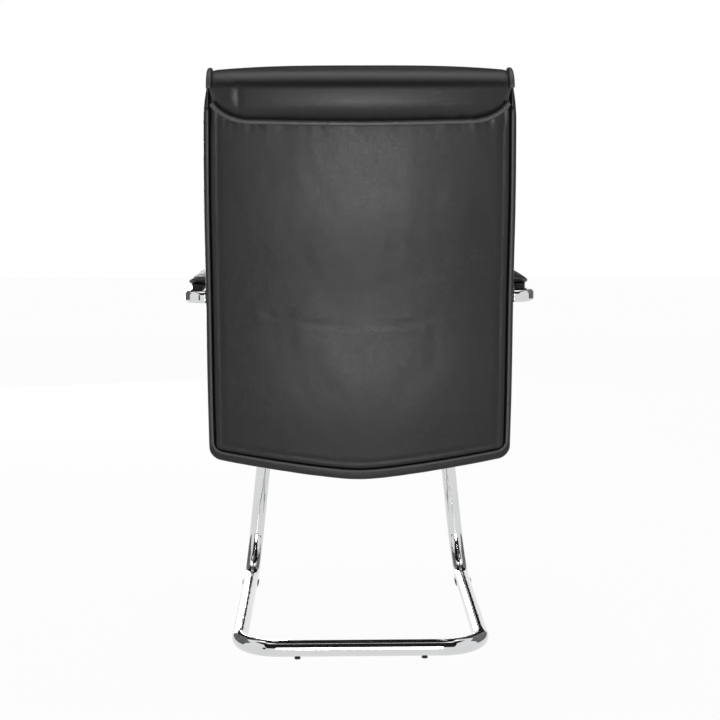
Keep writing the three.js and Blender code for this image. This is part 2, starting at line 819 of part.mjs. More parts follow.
function headRoom(x) {
  const reach = bracketMiddle + bracketThickness / 2 + boltHeadHeight + slack;
  const room = upright(boltHeadRadius + slack, shellFace, reach, 0, 0);
  return room.rotateX(Math.PI / 2).translate(x, 0, bracketBackBoltUp);
}

function addBracket() {
  const holeLow = -overrun - 2 * bracketThickness;
  const seatHoles = bracketSeatBolts.map(([x, y]) =>
    upright(boltRadius + seam, holeLow, overrun, x, y).applyMatrix4(seatFrame.matrix),
  );
  const backHoles = bracketBackBolts.map((x) => shellBore(x).applyMatrix4(backFrame.matrix));
  addPiece("back_bracket", carve(bracketBar(0), [...seatHoles, ...backHoles]), steel);
  const seatBearing = strapHigh - bracketThickness - seam;
  const backBearing = bracketMiddle + bracketThickness / 2 + seam;
  for (const { name, sign } of sides) {
    const x = sign * bracketBoltHalfGap;
    const seatBolt = boltGeometry(boardHigh - seam - seatBearing);
    seatBolt.translate(x, bracketSeatBoltY, seatBearing);
    addPiece(`bracket_seat_bolt_${name}`, seatBolt, zinc, seatFrame);
    const backBolt = boltGeometry(backBearing + shellFace - seam).rotateX(-Math.PI / 2);
    backBolt.translate(x, -backBearing, bracketBackBoltUp);
    addPiece(`bracket_back_bolt_${name}`, backBolt, zinc, backFrame);
  }
}

// Where a tongue's middle lies: flat against the rear of the shell, level with the arm bar's end
function tongueSpot() {
  const level = (armZ - backZ) / Math.cos(recline);
  const behind = onBack(tongueMidX, upAt(tongueMidX, level), -(shellFace + tongueGap)).y;
  const neckBehind = behind - (backHalfWidth - tongueMidX) * Math.tan(tongueLean);
  return vector(tongueMidX, behind, level + neckBehind * Math.tan(recline));
}

// Puts geometry made about a tongue's middle, with +Z to the front, in its place
function onTongue(geometry, sign) {
  const spot = tongueSpot();
  geometry.rotateX(Math.PI / 2).rotateZ(-sign * tongueLean);
  return geometry.translate(sign * spot.x, spot.y, spot.z);
}

function tongueShape(sign, room) {
  const bladeHalf = tongueHeight / 2 + room;
  const neckHalf = tongueNeckHeight / 2 + room;
  const places = [
    [tongueInnerX - room, -bladeHalf],
    [tongueShoulderX + room, -bladeHalf],
    [tongueShoulderX + room, -neckHalf],
    [tongueNeckOuterX + room, -neckHalf],
    [tongueNeckOuterX + room, neckHalf],
    [tongueShoulderX + room, neckHalf],
    [tongueShoulderX + room, bladeHalf],
    [tongueInnerX - room, bladeHalf],
  ];
  return new THREE.Shape(places.map(([x, y]) => new THREE.Vector2(sign * (x - tongueMidX), y)));
}

function tongueBlank(sign, room) {
  const blank = plate(tongueShape(sign, room), tongueThickness + 2 * room);
  return onTongue(blank.translate(0, 0, -tongueThickness - room), sign);
}

function tongueBores(sign) {
  return [-1, 1].map((end) => {
    const [x, y] = [sign * (tongueBoltX - tongueMidX), end * tongueBoltHalfGap];
    const bore = upright(boltRadius + seam, -tongueThickness - overrun, shellThickness + overrun, x, y);
    return onTongue(bore, sign);
  });
}

function addTongues() {
  const ends = [["upper", tongueBoltHalfGap], ["lower", -tongueBoltHalfGap]];
  for (const { name, sign } of sides) {
    const blade = carve(tongueBlank(sign, 0), tongueBores(sign));
    addPiece(`arm_tongue_${name}`, blade, steel, backFrame);
    for (const [end, y] of ends) {
      const bolt = boltGeometry(tongueThickness + shellThickness - seam);
      bolt.translate(sign * (tongueBoltX - tongueMidX), y, -tongueThickness - seam);
      addPiece(`tongue_bolt_${end}_${name}`, onTongue(bolt, sign), zinc, backFrame);
    }
  }
}

function addShell() {
  const blank = backSlab({
    halfWidth: backHalfWidth - shellInset,
    low: bottomBorder + layerGap,
    high: shellTop,
    corner: innerCorner,
    rear: -shellFace,
    front: shellFace,
  });
  const bores = [...bracketBackBolts.map(shellBore), ...sides.flatMap(({ sign }) => tongueBores(sign))];
  addPiece("back_shell", carve(blank, [rollRoom(), ...bores]), plywood, backFrame);
}

function addFoamCore() {
  const blank = backSlab({
    halfWidth: backHalfWidth - borderWidth - layerGap,
    low: bottomBorder + layerGap,
    high: shellTop,
    corner: innerCorner,
    rear: shellFace + layerGap,
    front: boxingFront,
  });
  const slot = seenFrom(backFrame, bracketBar(slack));
  const rooms = [rollRoom(), slot, ...bracketBackBolts.map(headRoom)];
  addPiece("back_foam_core", carve(blank, rooms), foam, backFrame);
}

function addBoxing() {
  const halfHeight = shellTop / 2;
  const form = {
    halfWidth: backHalfWidth,
    halfHeight,
    corner: backCorner,
    rim: boxingRear + boxingFront,
    crown: 0,
    tuck: boxingTuck,
    cornerLines: boxingCornerLineCount,
    segments: boxingSegments,
  };
  const outer = crownedForm(form, (x, y, height) => onBack(-x, halfHeight + y, boxingFront - height));
  const inner = backSlab({
    halfWidth: backHalfWidth - borderWidth,
    low: bottomBorder,
    high: shellTop + 2 * overrun,
    corner: innerCorner,
    rear: -boxingRear - overrun,
    front: boxingFront + overrun,
  });
  const slots = sides.map(({ sign }) => tongueBlank(sign, slack / 2));
  addPiece("back_boxing", carve(outer, [inner, rollRoom(), ...slots]), leather, backFrame);
}

function addRearPanel() {
  const halfHeight = (panelTop - panelLow) / 2;
  const form = {
    halfWidth: panelHalfWidth,
    halfHeight,
    corner: innerCorner,
    rim: panelRim,
    crown: panelCrown,
    tuck: 0,
    cornerLines: slabCornerLineCount,
    segments: slabSegments,
  };
  const middleUp = panelLow + halfHeight;
  const panel = crownedForm(form, (x, y, height) => onBack(-x, middleUp + y, -panelFoot - height));
  addPiece("rear_panel", carve(panel, [flapPiping(pipingRadius + seam)]), leather, backFrame);
}

// A thin cord in the groove between the rear panel and the boxing, down both sides and along the bottom
function addWelt() {
  const across = panelHalfWidth + weltRadius + 2 * seam + layerGap;
  const low = panelLow - weltRadius - layerGap;
  const front = -boxingRear - weltRadius - layerGap;
  const turn = innerCorner + weltRadius;
  const half = [];
  for (const share of weltLevelShares) {
    half.push([across, low + turn + share * (weltTop - low - turn)]);
  }
  for (const swing of quarterTurn(weltCornerSteps).slice(1, -1)) {
    half.push([across - turn * (1 - Math.cos(swing)), low + turn * (1 - Math.sin(swing))]);
  }
  for (const share of weltReachShares) {
    half.push([share * (across - turn), low]);
  }
  const mirrored = half.map(([x, up]) => [-x, up]).reverse();
  const points = [...half, [0, low], ...mirrored].map(([x, up]) => onBack(x, up, front));
  addPiece("rear_welt", cord(points, weltRadius), piping, backFrame);
}

function addBackCushion() {
  const halfHeight = (rollSeamUp - cushionLow) / 2;
  const form = {
    halfWidth: backHalfWidth,
    halfHeight,
    corner: backCorner,
    rim: cushionRim,
    crown: cushionCrown,
    tuck: cushionTuck,
    crowding: edgePower,
    segments: cushionSegments,
  };
  const middleUp = cushionLow + halfHeight;
  const cushion = crownedForm(form, (x, y, height) => onBack(x, middleUp + y, cushionRear + height));
  const cords = sides.map(({ sign }) => frontPiping(sign, pipingRadius + seam));
  const slot = seenFrom(backFrame, bracketBar(slack));
  addPiece("back_cushion", carve(cushion, [slot, ...cords]), leather, backFrame);
}

// The head roll: a pad that goes up the front, over the top and down to its flap's edge behind

const rollBendMiddle = (cushionRear - rollInnerRear) / 2;
const rollBendRadius = (cushionRear + rollInnerRear) / 2;
const rollCrestShare = rollFrontShare + rollBendShare / 2;
const rollFlatShare = flapFlatHalfWidth / rollHalfWidth;

function flapEdge(across) {
  const over = (Math.abs(across) - flapFlatHalfWidth) / (rollHalfWidth - flapFlatHalfWidth);
  const share = Math.min(1, Math.max(0, over));
  return flapUp + flapEndRise * (1 - Math.sqrt(1 - share * share));
}

// Where the roll's inner face is at a share of the way from its front seam to its flap's edge
function rollInner(share, across) {
  if (share < rollFrontShare) {
    const rise = share / rollFrontShare;
    const start = rollSeamUp + seam;
    return { front: cushionRear, up: start + rise * (rollTopLine - start), turn: 0 };
  }
  if (share < rollFrontShare + rollBendShare) {
    const turn = (Math.PI * (share - rollFrontShare)) / rollBendShare;
    const front = rollBendMiddle + rollBendRadius * Math.cos(turn);
    return { front, up: rollTopLine + rollBendRise * Math.sin(turn), turn };
  }
  const fall = (share - rollFrontShare - rollBendShare) / (1 - rollFrontShare - rollBendShare);
  const up = rollTopLine - fall * (rollTopLine - flapEdge(across));
  return { front: -rollInnerRear, up, turn: Math.PI };
}

function rollThickness(share, reach) {
  const full = 1 - Math.pow(Math.abs(reach), domePower);
  if (share < rollCrestShare) {
    const rise = share / rollCrestShare;
    const side = rollSideFront + (rollSideTop - rollSideFront) * rise;
    const body = (rollTopThickness - rollSideTop) * rise + rollFrontSwell * Math.sin(Math.PI * rise);
    return side + full * body;
  }
  const fall = (share - rollCrestShare) / (1 - rollCrestShare);
  const side = rollSideTop + (rollSideRear - rollSideTop) * fall;
  const body = (rollTopThickness - rollSideTop) * (1 - fall) + rollRearSwell * Math.sin(Math.PI * fall);
  return side + full * body;
}

// The roll's lines across are even in its middle and follow the swing of its flap's rounded ends
function rollReach(a) {
  const middle = 1 - (2 * rollEndLineCount) / rollSegments[0];
  const end = 1 - rollFlatShare;
  const past = Math.abs(a) - middle;
  if (past <= 0) {
    return (a * rollFlatShare) / middle;
  }
  return Math.sign(a) * (rollFlatShare + end * Math.sin((Math.PI * past) / (2 * (1 - middle))));
}

// A point of the roll, -1 to 1 across, from its front seam to its flap's edge and from its inner face out
function onRoll(reach, b, c) {
  const share = (b + 1) / 2;
  const fall = Math.max(0, share - rollCrestShare) / (1 - rollCrestShare);
  const across = reach * (rollHalfWidth - flapTuck * fall);
  const { front, up, turn } = rollInner(share, across);
  const out = (rollThickness(share, reach) * (c + 1)) / 2;
  return onBack(across, up + out * Math.sin(turn), front + out * Math.cos(turn));
}

// The space from the roll's inner face out, which trims the tops of the pieces inside the roll
function rollRoom() {
  return shapedBlock(rollSegments, (a, b, c) => {
    const { front, up, turn } = rollInner((b + 1) / 2, 0);
    const out = c < 0 ? -seam : rollTopThickness;
    return onBack(a * (backHalfWidth + overrun), up + out * Math.sin(turn), front + out * Math.cos(turn));
  });
}

// Cords lie along the cushion's front edges, the roll's side edges and the flap's edge

function frontPiping(sign, radius) {
  const across = sign * (backHalfWidth - cushionTuck);
  const front = cushionRear + cushionRim;
  const low = cushionLow + backCorner;
  const beside = frontPipingShares.map((share) => onBack(across, low + share * (rollSeamUp - low), front));
  const over = rollPipingShares.map((share) => onRoll(sign, 2 * share - 1, 1));
  return cord([...beside, ...over], radius);
}

function flapPiping(radius) {
  const swings = quarterTurn(flapEndSteps).reverse();
  const rounded = swings.map((swing) => rollFlatShare + (1 - rollFlatShare) * Math.sin(swing));
  const half = [...rounded, ...flapReachShares.map((share) => share * rollFlatShare)];
  const reaches = [...half, ...half.map((reach) => -reach).reverse().slice(1)];
  const points = reaches.map((reach) => onRoll(reach, 1, 0).add(vector(0, 0, -pipingRadius / 2)));
  return cord(points, radius);
}

function addHeadRoll() {
  const blank = shapedBlock(rollSegments, (a, b, c) => onRoll(rollReach(a), b, c));
  const room = pipingRadius + seam;
  const cords = sides.map(({ sign }) => frontPiping(sign, room));
  addPiece("head_roll", carve(blank, [flapPiping(room), ...cords]), leather, backFrame);
  addPiece("flap_piping", flapPiping(pipingRadius), piping, backFrame);
  for (const { name, sign } of sides) {
    addPiece(`front_piping_${name}`, frontPiping(sign, pipingRadius), piping, backFrame);
  }
}

// Arms

const armInnerX = onBack(backHalfWidth, upAt(backHalfWidth, tongueSpot().z), 0).x + seam;
const armRearY = fromBack(tongueSpot()).y - tongueSetback;
const padRearY = armRearY - padSetback;
const padCentreX = armCentreX + armWidth / 2 - padWidth / 2;
const padCentreY = padRearY - padLength / 2;
const padScrewYs = [padCentreY + padScrewShare * padLength, padCentreY - padScrewShare * padLength];

function armRoute(sign) {
  const foot = onSeat(sign * armFootX, armFrontY, strapHigh + armWall);
  const front = foot.y + (armZ - foot.z) * Math.tan(seatTilt);
  const corners = [
    vector(sign * armInnerX, armRearY, armZ),
    vector(sign * armCentreX, armRearY, armZ),
    vector(sign * armCentreX, front, armZ),
    foot,
  ];
  return new BentRoute(corners, [armRearBend, armFrontBend]);
}

function addArmBar(name, sign) {
  const section = roundedRectangle(armHeight, armWidth, armCorner);
  const [innerHeight, innerWidth] = [armHeight - 2 * armWall, armWidth - 2 * armWall];
  section.holes.push(roundedRectangle(innerHeight, innerWidth, armCorner - armWall));
  const bar = sweep(section, armRoute(sign), 1);
  const [low, high] = [armTopZ - armHeight - overrun, armTopZ + overrun];
  const holes = padScrewYs.map((y) => upright(padScrewRadius + seam, low, high, sign * armCentreX, y));
  addPiece(`arm_bar_${name}`, carve(bar, holes), chrome);
}

function addArmFoot(name, sign) {
  const outerX = armFootX + armWidth / 2;
  const low = strapHigh - footThickness;
  const blank = plate(rectangle(outerX - footInnerX, footWidth), footThickness);
  blank.translate((sign * (outerX + footInnerX)) / 2, armFrontY, low);
  const holes = footEnds.map(([, x]) =>
    upright(boltRadius + seam, low - overrun, overrun, sign * x, armFrontY),
  );
  addPiece(`arm_foot_${name}`, carve(blank, holes), steel, seatFrame);
  for (const [end, x] of footEnds) {
    const bolt = boltGeometry(boardHigh - low);
    bolt.translate(sign * x, armFrontY, low - seam);
    addPiece(`foot_bolt_${end}_${name}`, bolt, zinc, seatFrame);
  }
}

function addArmPad(name, sign) {
  const [baseWidth, baseLength] = [padWidth - 2 * padBaseInset, padLength - 2 * padBaseInset];
  const outline = roundedRectangle(baseWidth, baseLength, padCorner - padBaseInset);
  const base = plate(outline, padBaseThickness).translate(sign * padCentreX, padCentreY, armTopZ + seam);
  const [low, high] = [armTopZ - overrun, armTopZ + padBaseThickness + overrun];
  const holes = padScrewYs.map((y) => upright(padScrewRadius + seam, low, high, sign * armCentreX, y));
  addPiece(`arm_pad_base_${name}`, carve(base, holes), blackPlastic);
  const form = {
    halfWidth: padWidth / 2,
    halfHeight: padLength / 2,
    corner: padCorner,
    rim: padRim,
    crown: padCrown,
    tuck: padTuck,
    crowding: 1,
    segments: padSegments,
  };
  const [centreX, foot] = [sign * padCentreX, armTopZ + padBaseThickness + 2 * seam];
  const pad = crownedForm(form, (x, y, height) => vector(centreX + x, padCentreY + y, foot + height));
  addPiece(`arm_pad_${name}`, pad, leather);
  for (const [end, y] of [["rear", padScrewYs[0]], ["front", padScrewYs[1]]]) {
    const length = armHeight + padBaseThickness + seam;
    const screw = boltGeometry(length, padScrewSizes);
    const place = vector(sign * armCentreX, y, armTopZ - armHeight - seam);
    addPiece(`pad_screw_${end}_${name}`, screw, zinc).position.copy(place);
  }
}

addBase();
addTubePlugs();
addSeatStraps();
addGlides();
addSeatBoard();
addDustCover();
addSeatCushion();
addStrapBolts();
addShell();
addFoamCore();
addBoxing();
addRearPanel();
addWelt();
addBackCushion();
addHeadRoll();
addBracket();
addTongues();
for (const { name, sign } of sides) {
  addArmBar(name, sign);
  addArmFoot(name, sign);
  addArmPad(name, sign);
}

// The origin is the middle of the footprint of the whole chair, on the floor
chair.updateMatrixWorld(true);
const bounds = new THREE.Box3().setFromObject(chair, true);
chair.position.set(0, -(bounds.min.y + bounds.max.y) / 2, -bounds.min.z);

export default chair;
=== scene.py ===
# %% [markdown]
# A sled base visitor chair, seen from behind: a high upholstered back, a seat,
# padded arms and one bent chrome tube that stands on the floor as a loop.
# The solids of the chair come in as a fixed frame. This lesson dresses them: it
# makes each leather, chrome and plastic piece fine enough to look at closely,
# gives every piece a finish made of nodes, and sets up the light and the camera.

import json
import math

import bmesh
import bpy
from mathutils import Matrix, Vector, kdtree, noise


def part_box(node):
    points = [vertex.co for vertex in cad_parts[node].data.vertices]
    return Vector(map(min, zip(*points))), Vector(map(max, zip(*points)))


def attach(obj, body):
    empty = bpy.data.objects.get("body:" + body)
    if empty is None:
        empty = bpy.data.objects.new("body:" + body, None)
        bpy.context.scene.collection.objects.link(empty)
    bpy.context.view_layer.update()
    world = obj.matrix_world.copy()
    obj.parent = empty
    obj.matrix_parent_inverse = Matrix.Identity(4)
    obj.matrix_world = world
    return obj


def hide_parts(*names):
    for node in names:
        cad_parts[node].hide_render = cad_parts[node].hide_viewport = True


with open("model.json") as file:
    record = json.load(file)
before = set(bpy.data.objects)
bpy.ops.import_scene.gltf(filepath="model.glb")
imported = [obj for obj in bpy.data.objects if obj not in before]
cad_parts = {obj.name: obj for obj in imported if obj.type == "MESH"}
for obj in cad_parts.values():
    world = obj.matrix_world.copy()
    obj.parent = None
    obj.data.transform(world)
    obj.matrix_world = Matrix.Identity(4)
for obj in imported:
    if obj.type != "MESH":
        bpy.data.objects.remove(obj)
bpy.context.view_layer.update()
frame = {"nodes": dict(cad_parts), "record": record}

# %% [markdown]
# The upholstery is laid out in millimetres: across from the middle of the back,
# up from its lowest edge, and forward from the middle of the plywood shell. One
# function turns those into metres in the frame, so every layer of the back bends
# alike. The seat has a frame of its own, tipped back a little.

# %% The back's and the seat's own frames
mm = 0.001
pad_base_low, pad_base_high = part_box("arm_pad_base_left")
chair_shift = (pad_base_low.y + pad_base_high.y) / 2 / mm - 19
recline = math.radians(11)
back_y, back_z = 205, 298
back_half, back_height = 255.5, 688
seat_tilt = math.radians(3)
seat_height = 346


def lumbar_at(up):
    share = (up - 92) / 408
    return 11 * math.sin(math.pi * share) ** 2 if 0 < share < 1 else 0


def on_back(across, up, front):
    reach = across / back_half
    level = up / back_height
    foot = 0.137 * (math.hypot(across, 40) - 40)
    x = across * (1 - 0.034 * max(0, level) ** 2.5)
    y = -26 * reach * reach - lumbar_at(up) - front
    z = up + foot * (1 - level) - 3 * reach * reach * level
    lean, rise = math.sin(recline), math.cos(recline)
    behind = back_y + y * rise + z * lean + chair_shift
    return Vector((x, behind, back_z - y * lean + z * rise)) * mm


def on_seat(x, y, z):
    tip, flat = math.sin(seat_tilt), math.cos(seat_tilt)
    return Vector((x, y * flat + z * tip + chair_shift, seat_height - y * tip + z * flat)) * mm


def on_floor(x, y, z):
    return Vector((x, y + chair_shift, z)) * mm


print("top of the back:", on_back(0, back_height, 0), "seat:", on_seat(0, 0, 0))

# %% [markdown]
# Three ways of making a shape are used again and again. A bar or cord is a ring
# that is extruded along a route, and turned at each bend. A turned piece is a
# profile that is spun. A padded piece starts as a cube whose edges are subdivided
# into a fine grid, and each point of the grid then moves to its place.

# %% Shape helpers


def finished(name, bm, finish, slot, *replaced):
    bmesh.ops.remove_doubles(bm, verts=bm.verts, dist=1e-6)
    bmesh.ops.recalc_face_normals(bm, faces=bm.faces)
    mesh = bpy.data.meshes.new(name)
    bm.to_mesh(mesh)
    bm.free()
    mesh.polygons.foreach_set("use_smooth", [True] * len(mesh.polygons))
    piece = bpy.data.objects.new(name, mesh)
    bpy.context.scene.collection.objects.link(piece)
    mesh.materials.append(finish)
    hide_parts(*replaced)
    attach(piece, "root")
    return piece


def bent_route(corners, bends, steps):
    points = [Vector(corner) for corner in corners]
    route = [(points[0], (points[1] - points[0]).normalized())]
    for before, corner, after, bend in zip(points, points[1:], points[2:], bends):
        arrive, leave = (corner - before).normalized(), (after - corner).normalized()
        turn, axis = arrive.angle(leave), arrive.cross(leave).normalized()
        start = corner - arrive * bend * math.tan(turn / 2)
        centre = start + axis.cross(arrive) * bend
        for k in range(steps + 1):
            swing = Matrix.Rotation(turn * k / steps, 3, axis)
            route.append((swing @ (start - centre) + centre, swing @ arrive))
    route.append((points[-1], (points[-1] - points[-2]).normalized()))
    return route


def cord_route(points):
    ends = [points[0], *points, points[-1]]
    return [(at, (ends[i + 2] - ends[i]).normalized()) for i, at in enumerate(points)]


def smooth_line(points, between=6):
    line = []
    for i in range(len(points) - 1):
        before, after = points[max(i - 1, 0)], points[min(i + 2, len(points) - 1)]
        a, b = points[i], points[i + 1]
        for k in range(between):
            t = k / between
            leave, arrive = (b - before) / 2, (after - a) / 2
            line.append(a * (2 * t**3 - 3 * t**2 + 1) + b * (3 * t**2 - 2 * t**3)
                        + leave * (t**3 - 2 * t**2 + t) + arrive * (t**3 - t**2))
    return [*line, points[-1]]


def sweep(bm, route, up=Vector((0, 0, 1))):
    """Extrudes the ring in bm, made round the origin in its XY plane, along the route."""
    at, heading = route[0]
    side = up.cross(heading).normalized()
    turned = Matrix((side, heading.cross(side), heading)).transposed().to_4x4()
    bmesh.ops.transform(bm, matrix=Matrix.Translation(at) @ turned, verts=bm.verts)
    edges = bm.edges[:]
    for (old, was), (new, now) in zip(route, route[1:]):
        made = bmesh.ops.extrude_edge_only(bm, edges=edges)["geom"]
        verts = [g for g in made if isinstance(g, bmesh.types.BMVert)]
        edges = [g for g in made if isinstance(g, bmesh.types.BMEdge) and g.is_boundary]
        swing = was.rotation_difference(now).to_matrix().to_4x4()
        move = Matrix.Translation(new) @ swing @ Matrix.Translation(-old)
        bmesh.ops.transform(bm, matrix=move, verts=verts)
    bmesh.ops.holes_fill(bm, edges=[e for e in bm.edges if e.is_boundary])


def round_bar(radius, route, sides=16):
    bm = bmesh.new()
    bmesh.ops.create_circle(bm, radius=radius * mm, segments=sides)
    sweep(bm, route)
    return bm


def turned_piece(profile, steps=32):
    bm = bmesh.new()
    verts = [bm.verts.new((r * mm, 0, z * mm)) for r, z in profile]
    edges = [bm.edges.new(pair) for pair in zip(verts, verts[1:])]
    bmesh.ops.spin(bm, geom=verts + edges, cent=(0, 0, 0), axis=(0, 0, 1),
                   angle=2 * math.pi, steps=steps, use_merge=True)
    return bm


def gridded_block(counts, place):
    bm = bmesh.new()
    bmesh.ops.create_cube(bm, size=2)
    for axis, count in enumerate(counts):
        along = [e for e in bm.edges if abs((e.verts[0].co - e.verts[1].co)[axis]) > 1.9]
        bmesh.ops.subdivide_edges(bm, edges=along, cuts=count - 1, use_grid_fill=True)
    for vert in bm.verts:
        vert.co = place(*vert.co)
    return bm


def crowded(share, power):
    return math.copysign(1 - (1 - min(1, abs(share))) ** power, share)


def cornered(x, y, half_x, half_y, radius):
    over_x, over_y = abs(x) - (half_x - radius), abs(y) - (half_y - radius)
    if over_x <= 0 or over_y <= 0:
        return x, y
    pull = max(over_x, over_y) / math.hypot(over_x, over_y)
    return (math.copysign(half_x - radius + over_x * pull, x),
            math.copysign(half_y - radius + over_y * pull, y))


def dome(across, along, power=3.2):
    return (1 - abs(across) ** power) * (1 - abs(along) ** power)


def rolled_edge(depth, radius):
    inward = min(depth, radius) / radius
    return math.sqrt(max(0, 1 - (1 - inward) ** 2))


print("helpers ready")

# %% [markdown]
# Leather has a grain of small cells, folds that catch the light, and patches that
# are a little duller than others. All the leather pieces share that, so it is one
# node group with named inputs. It gives back a height for a Bump node, and a mask
# for the colour and the roughness. The shader itself stays in each material.

# %% Node helpers


def add_node(tree, kind, inputs=(), **settings):
    node = tree.nodes.new(kind)
    for key, value in settings.items():
        setattr(node, key, value)
    for key, value in dict(inputs).items():
        if isinstance(value, bpy.types.NodeSocket):
            tree.links.new(value, node.inputs[key])
        else:
            node.inputs[key].default_value = value
    return node


def new_group(name, inputs, outputs):
    tree = bpy.data.node_groups.new(name, "ShaderNodeTree")
    for title, kind, value in inputs:
        socket = tree.interface.new_socket(title, in_out="INPUT", socket_type=kind)
        if value is not None:
            socket.default_value = value
    for title in outputs:
        tree.interface.new_socket(title, in_out="OUTPUT", socket_type="NodeSocketFloat")
    return tree, tree.nodes.new("NodeGroupInput"), tree.nodes.new("NodeGroupOutput")


def spread(tree, value, low, high):
    node = add_node(tree, "ShaderNodeMapRange", {0: value, 1: 0.0, 2: 1.0, 3: low, 4: high})
    return node.outputs[0]


leather_grain, grain_in, grain_out = new_group(
    "leather_grain",
    [("Place", "NodeSocketVector", None), ("Cells", "NodeSocketFloat", 900.0),
     ("Folds", "NodeSocketFloat", 0.5)],
    ["Height", "Patches"])
place = grain_in.outputs["Place"]
wander = add_node(leather_grain, "ShaderNodeTexNoise", {"Vector": place, "Scale": 160.0, "Detail": 2.0})
bent = add_node(leather_grain, "ShaderNodeMix", {0: 0.004, 4: place, 5: wander.outputs["Color"]},
                data_type="VECTOR")
cells = add_node(leather_grain, "ShaderNodeTexVoronoi",
                 {"Vector": bent.outputs[1], "Scale": grain_in.outputs["Cells"]},
                 feature="DISTANCE_TO_EDGE")
pebble = add_node(leather_grain, "ShaderNodeMapRange",
                  {0: cells.outputs["Distance"], 1: 0.0, 2: 0.22, 3: 0.0, 4: 1.0})
stretch = add_node(leather_grain, "ShaderNodeMapping", {"Vector": place, "Scale": (5.0, 5.0, 11.0)})
folds = add_node(leather_grain, "ShaderNodeTexNoise",
                 {"Vector": stretch.outputs[0], "Scale": 1.0, "Detail": 3.0, "Roughness": 0.45})
patches = add_node(leather_grain, "ShaderNodeTexNoise", {"Vector": place, "Scale": 9.0, "Detail": 4.0})
fold_height = add_node(leather_grain, "ShaderNodeMath",
                       {0: folds.outputs[0], 1: grain_in.outputs["Folds"]}, operation="MULTIPLY")
fine_height = add_node(leather_grain, "ShaderNodeMath", {0: pebble.outputs[0], 1: 0.02},
                       operation="MULTIPLY")
height = add_node(leather_grain, "ShaderNodeMath", {0: fold_height.outputs[0], 1: fine_height.outputs[0]})
leather_grain.links.new(height.outputs[0], grain_out.inputs["Height"])
leather_grain.links.new(patches.outputs[0], grain_out.inputs["Patches"])
print("leather grain nodes:", len(leather_grain.nodes))

# %% [markdown]
# A finish is a Principled shader whose colour and roughness vary a little over
# the surface, with a bump. One function wires that up, so that each finish below
# is only its own pattern and its own numbers.

# %% Finish helper


def new_finish(name, metallic=0.0, specular=0.5, **shader_values):
    finish = bpy.data.materials.new(name)
    finish.use_nodes = True
    tree = finish.node_tree
    shader = tree.nodes["Principled BSDF"]
    shader.inputs["Metallic"].default_value = metallic
    shader.inputs["Specular IOR Level"].default_value = specular
    for key, value in shader_values.items():
        shader.inputs[key.replace("_", " ")].default_value = value
    where = add_node(tree, "ShaderNodeTexCoord").outputs["Object"]
    return finish, tree, shader, where


def colour_between(tree, shader, factor, dark, light):
    mix = add_node(tree, "ShaderNodeMix", {0: factor, 6: (*dark, 1), 7: (*light, 1)}, data_type="RGBA")
    tree.links.new(mix.outputs[2], shader.inputs["Base Color"])


def rough_between(tree, shader, factor, low, high):
    tree.links.new(spread(tree, factor, low, high), shader.inputs["Roughness"])


def bump(tree, shader, height_socket, distance):
    node = add_node(tree, "ShaderNodeBump", {"Height": height_socket, "Distance": distance})
    tree.links.new(node.outputs[0], shader.inputs["Normal"])


def leather_finish(name, dark, light, rough, specular, fold, cells_scale=900.0):
    finish, tree, shader, where = new_finish(name, specular=specular)
    grain = add_node(tree, "ShaderNodeGroup", node_tree=leather_grain)
    tree.links.new(where, grain.inputs["Place"])
    grain.inputs["Cells"].default_value = cells_scale
    grain.inputs["Folds"].default_value = fold
    colour_between(tree, shader, grain.outputs["Patches"], dark, light)
    rough_between(tree, shader, grain.outputs["Patches"], rough - 0.05, rough + 0.06)
    bump(tree, shader, grain.outputs["Height"], 0.004)
    return finish


soft_black, worn_black = (0.007, 0.007, 0.008), (0.011, 0.011, 0.012)
back_leather = leather_finish("back_leather", soft_black, worn_black, 0.31, 0.30, 0.4)
seat_leather = leather_finish("seat_leather", soft_black, worn_black, 0.38, 0.30, 0.5)
# The piping's base colour, several times lighter than the back's leather, is painted highlight: it stands
# for the light that the round cords catch.
piping_leather_painted_highlight = leather_finish("piping_leather_painted_highlight", (0.032,) * 3, (0.045,) * 3, 0.36, 0.5, 0.2, 1400.0)
print("leathers:", back_leather.name, seat_leather.name, piping_leather_painted_highlight.name)

# %% [markdown]
# Chrome plate is a mirror with faint smears, and the bending leaves slow waves in
# the tube that make its reflections wander. The zinc on screws is duller and
# mottled, and the powder coat on the flat steel has a fine orange peel.

# %% Metals
chrome, tree, shader, where = new_finish("chrome_plate", metallic=1.0)
smears = add_node(tree, "ShaderNodeTexNoise", {"Vector": where, "Scale": 14.0, "Detail": 5.0})
waves = add_node(tree, "ShaderNodeTexNoise", {"Vector": where, "Scale": 30.0, "Detail": 1.0})
colour_between(tree, shader, smears.outputs[0], (0.62, 0.625, 0.635), (0.72, 0.725, 0.73))
rough_between(tree, shader, smears.outputs[0], 0.02, 0.10)
bump(tree, shader, waves.outputs[0], 0.0003)

zinc, tree, shader, where = new_finish("zinc_plate", metallic=1.0)
mottle = add_node(tree, "ShaderNodeTexNoise", {"Vector": where, "Scale": 400.0, "Detail": 3.0})
colour_between(tree, shader, mottle.outputs[0], (0.42, 0.43, 0.45), (0.62, 0.63, 0.64))
rough_between(tree, shader, mottle.outputs[0], 0.25, 0.45)
bump(tree, shader, mottle.outputs[0], 0.0001)

steel, tree, shader, where = new_finish("powder_coated_steel", specular=0.4)
peel = add_node(tree, "ShaderNodeTexNoise", {"Vector": where, "Scale": 700.0, "Detail": 2.0})
rubbed = add_node(tree, "ShaderNodeTexNoise", {"Vector": where, "Scale": 35.0, "Detail": 6.0})
colour_between(tree, shader, rubbed.outputs[0], (0.018, 0.018, 0.019), (0.035, 0.035, 0.036))
rough_between(tree, shader, rubbed.outputs[0], 0.40, 0.60)
bump(tree, shader, peel.outputs[0], 0.0002)
print("metals:", chrome.name, zinc.name, steel.name)

# %% [markdown]
# The rest of the chair is plain stuff that hardly shows: moulded plastic with a
# spark texture, plywood whose plies show at its edges, open-celled foam, and the
# felt that closes the underside of the seat.

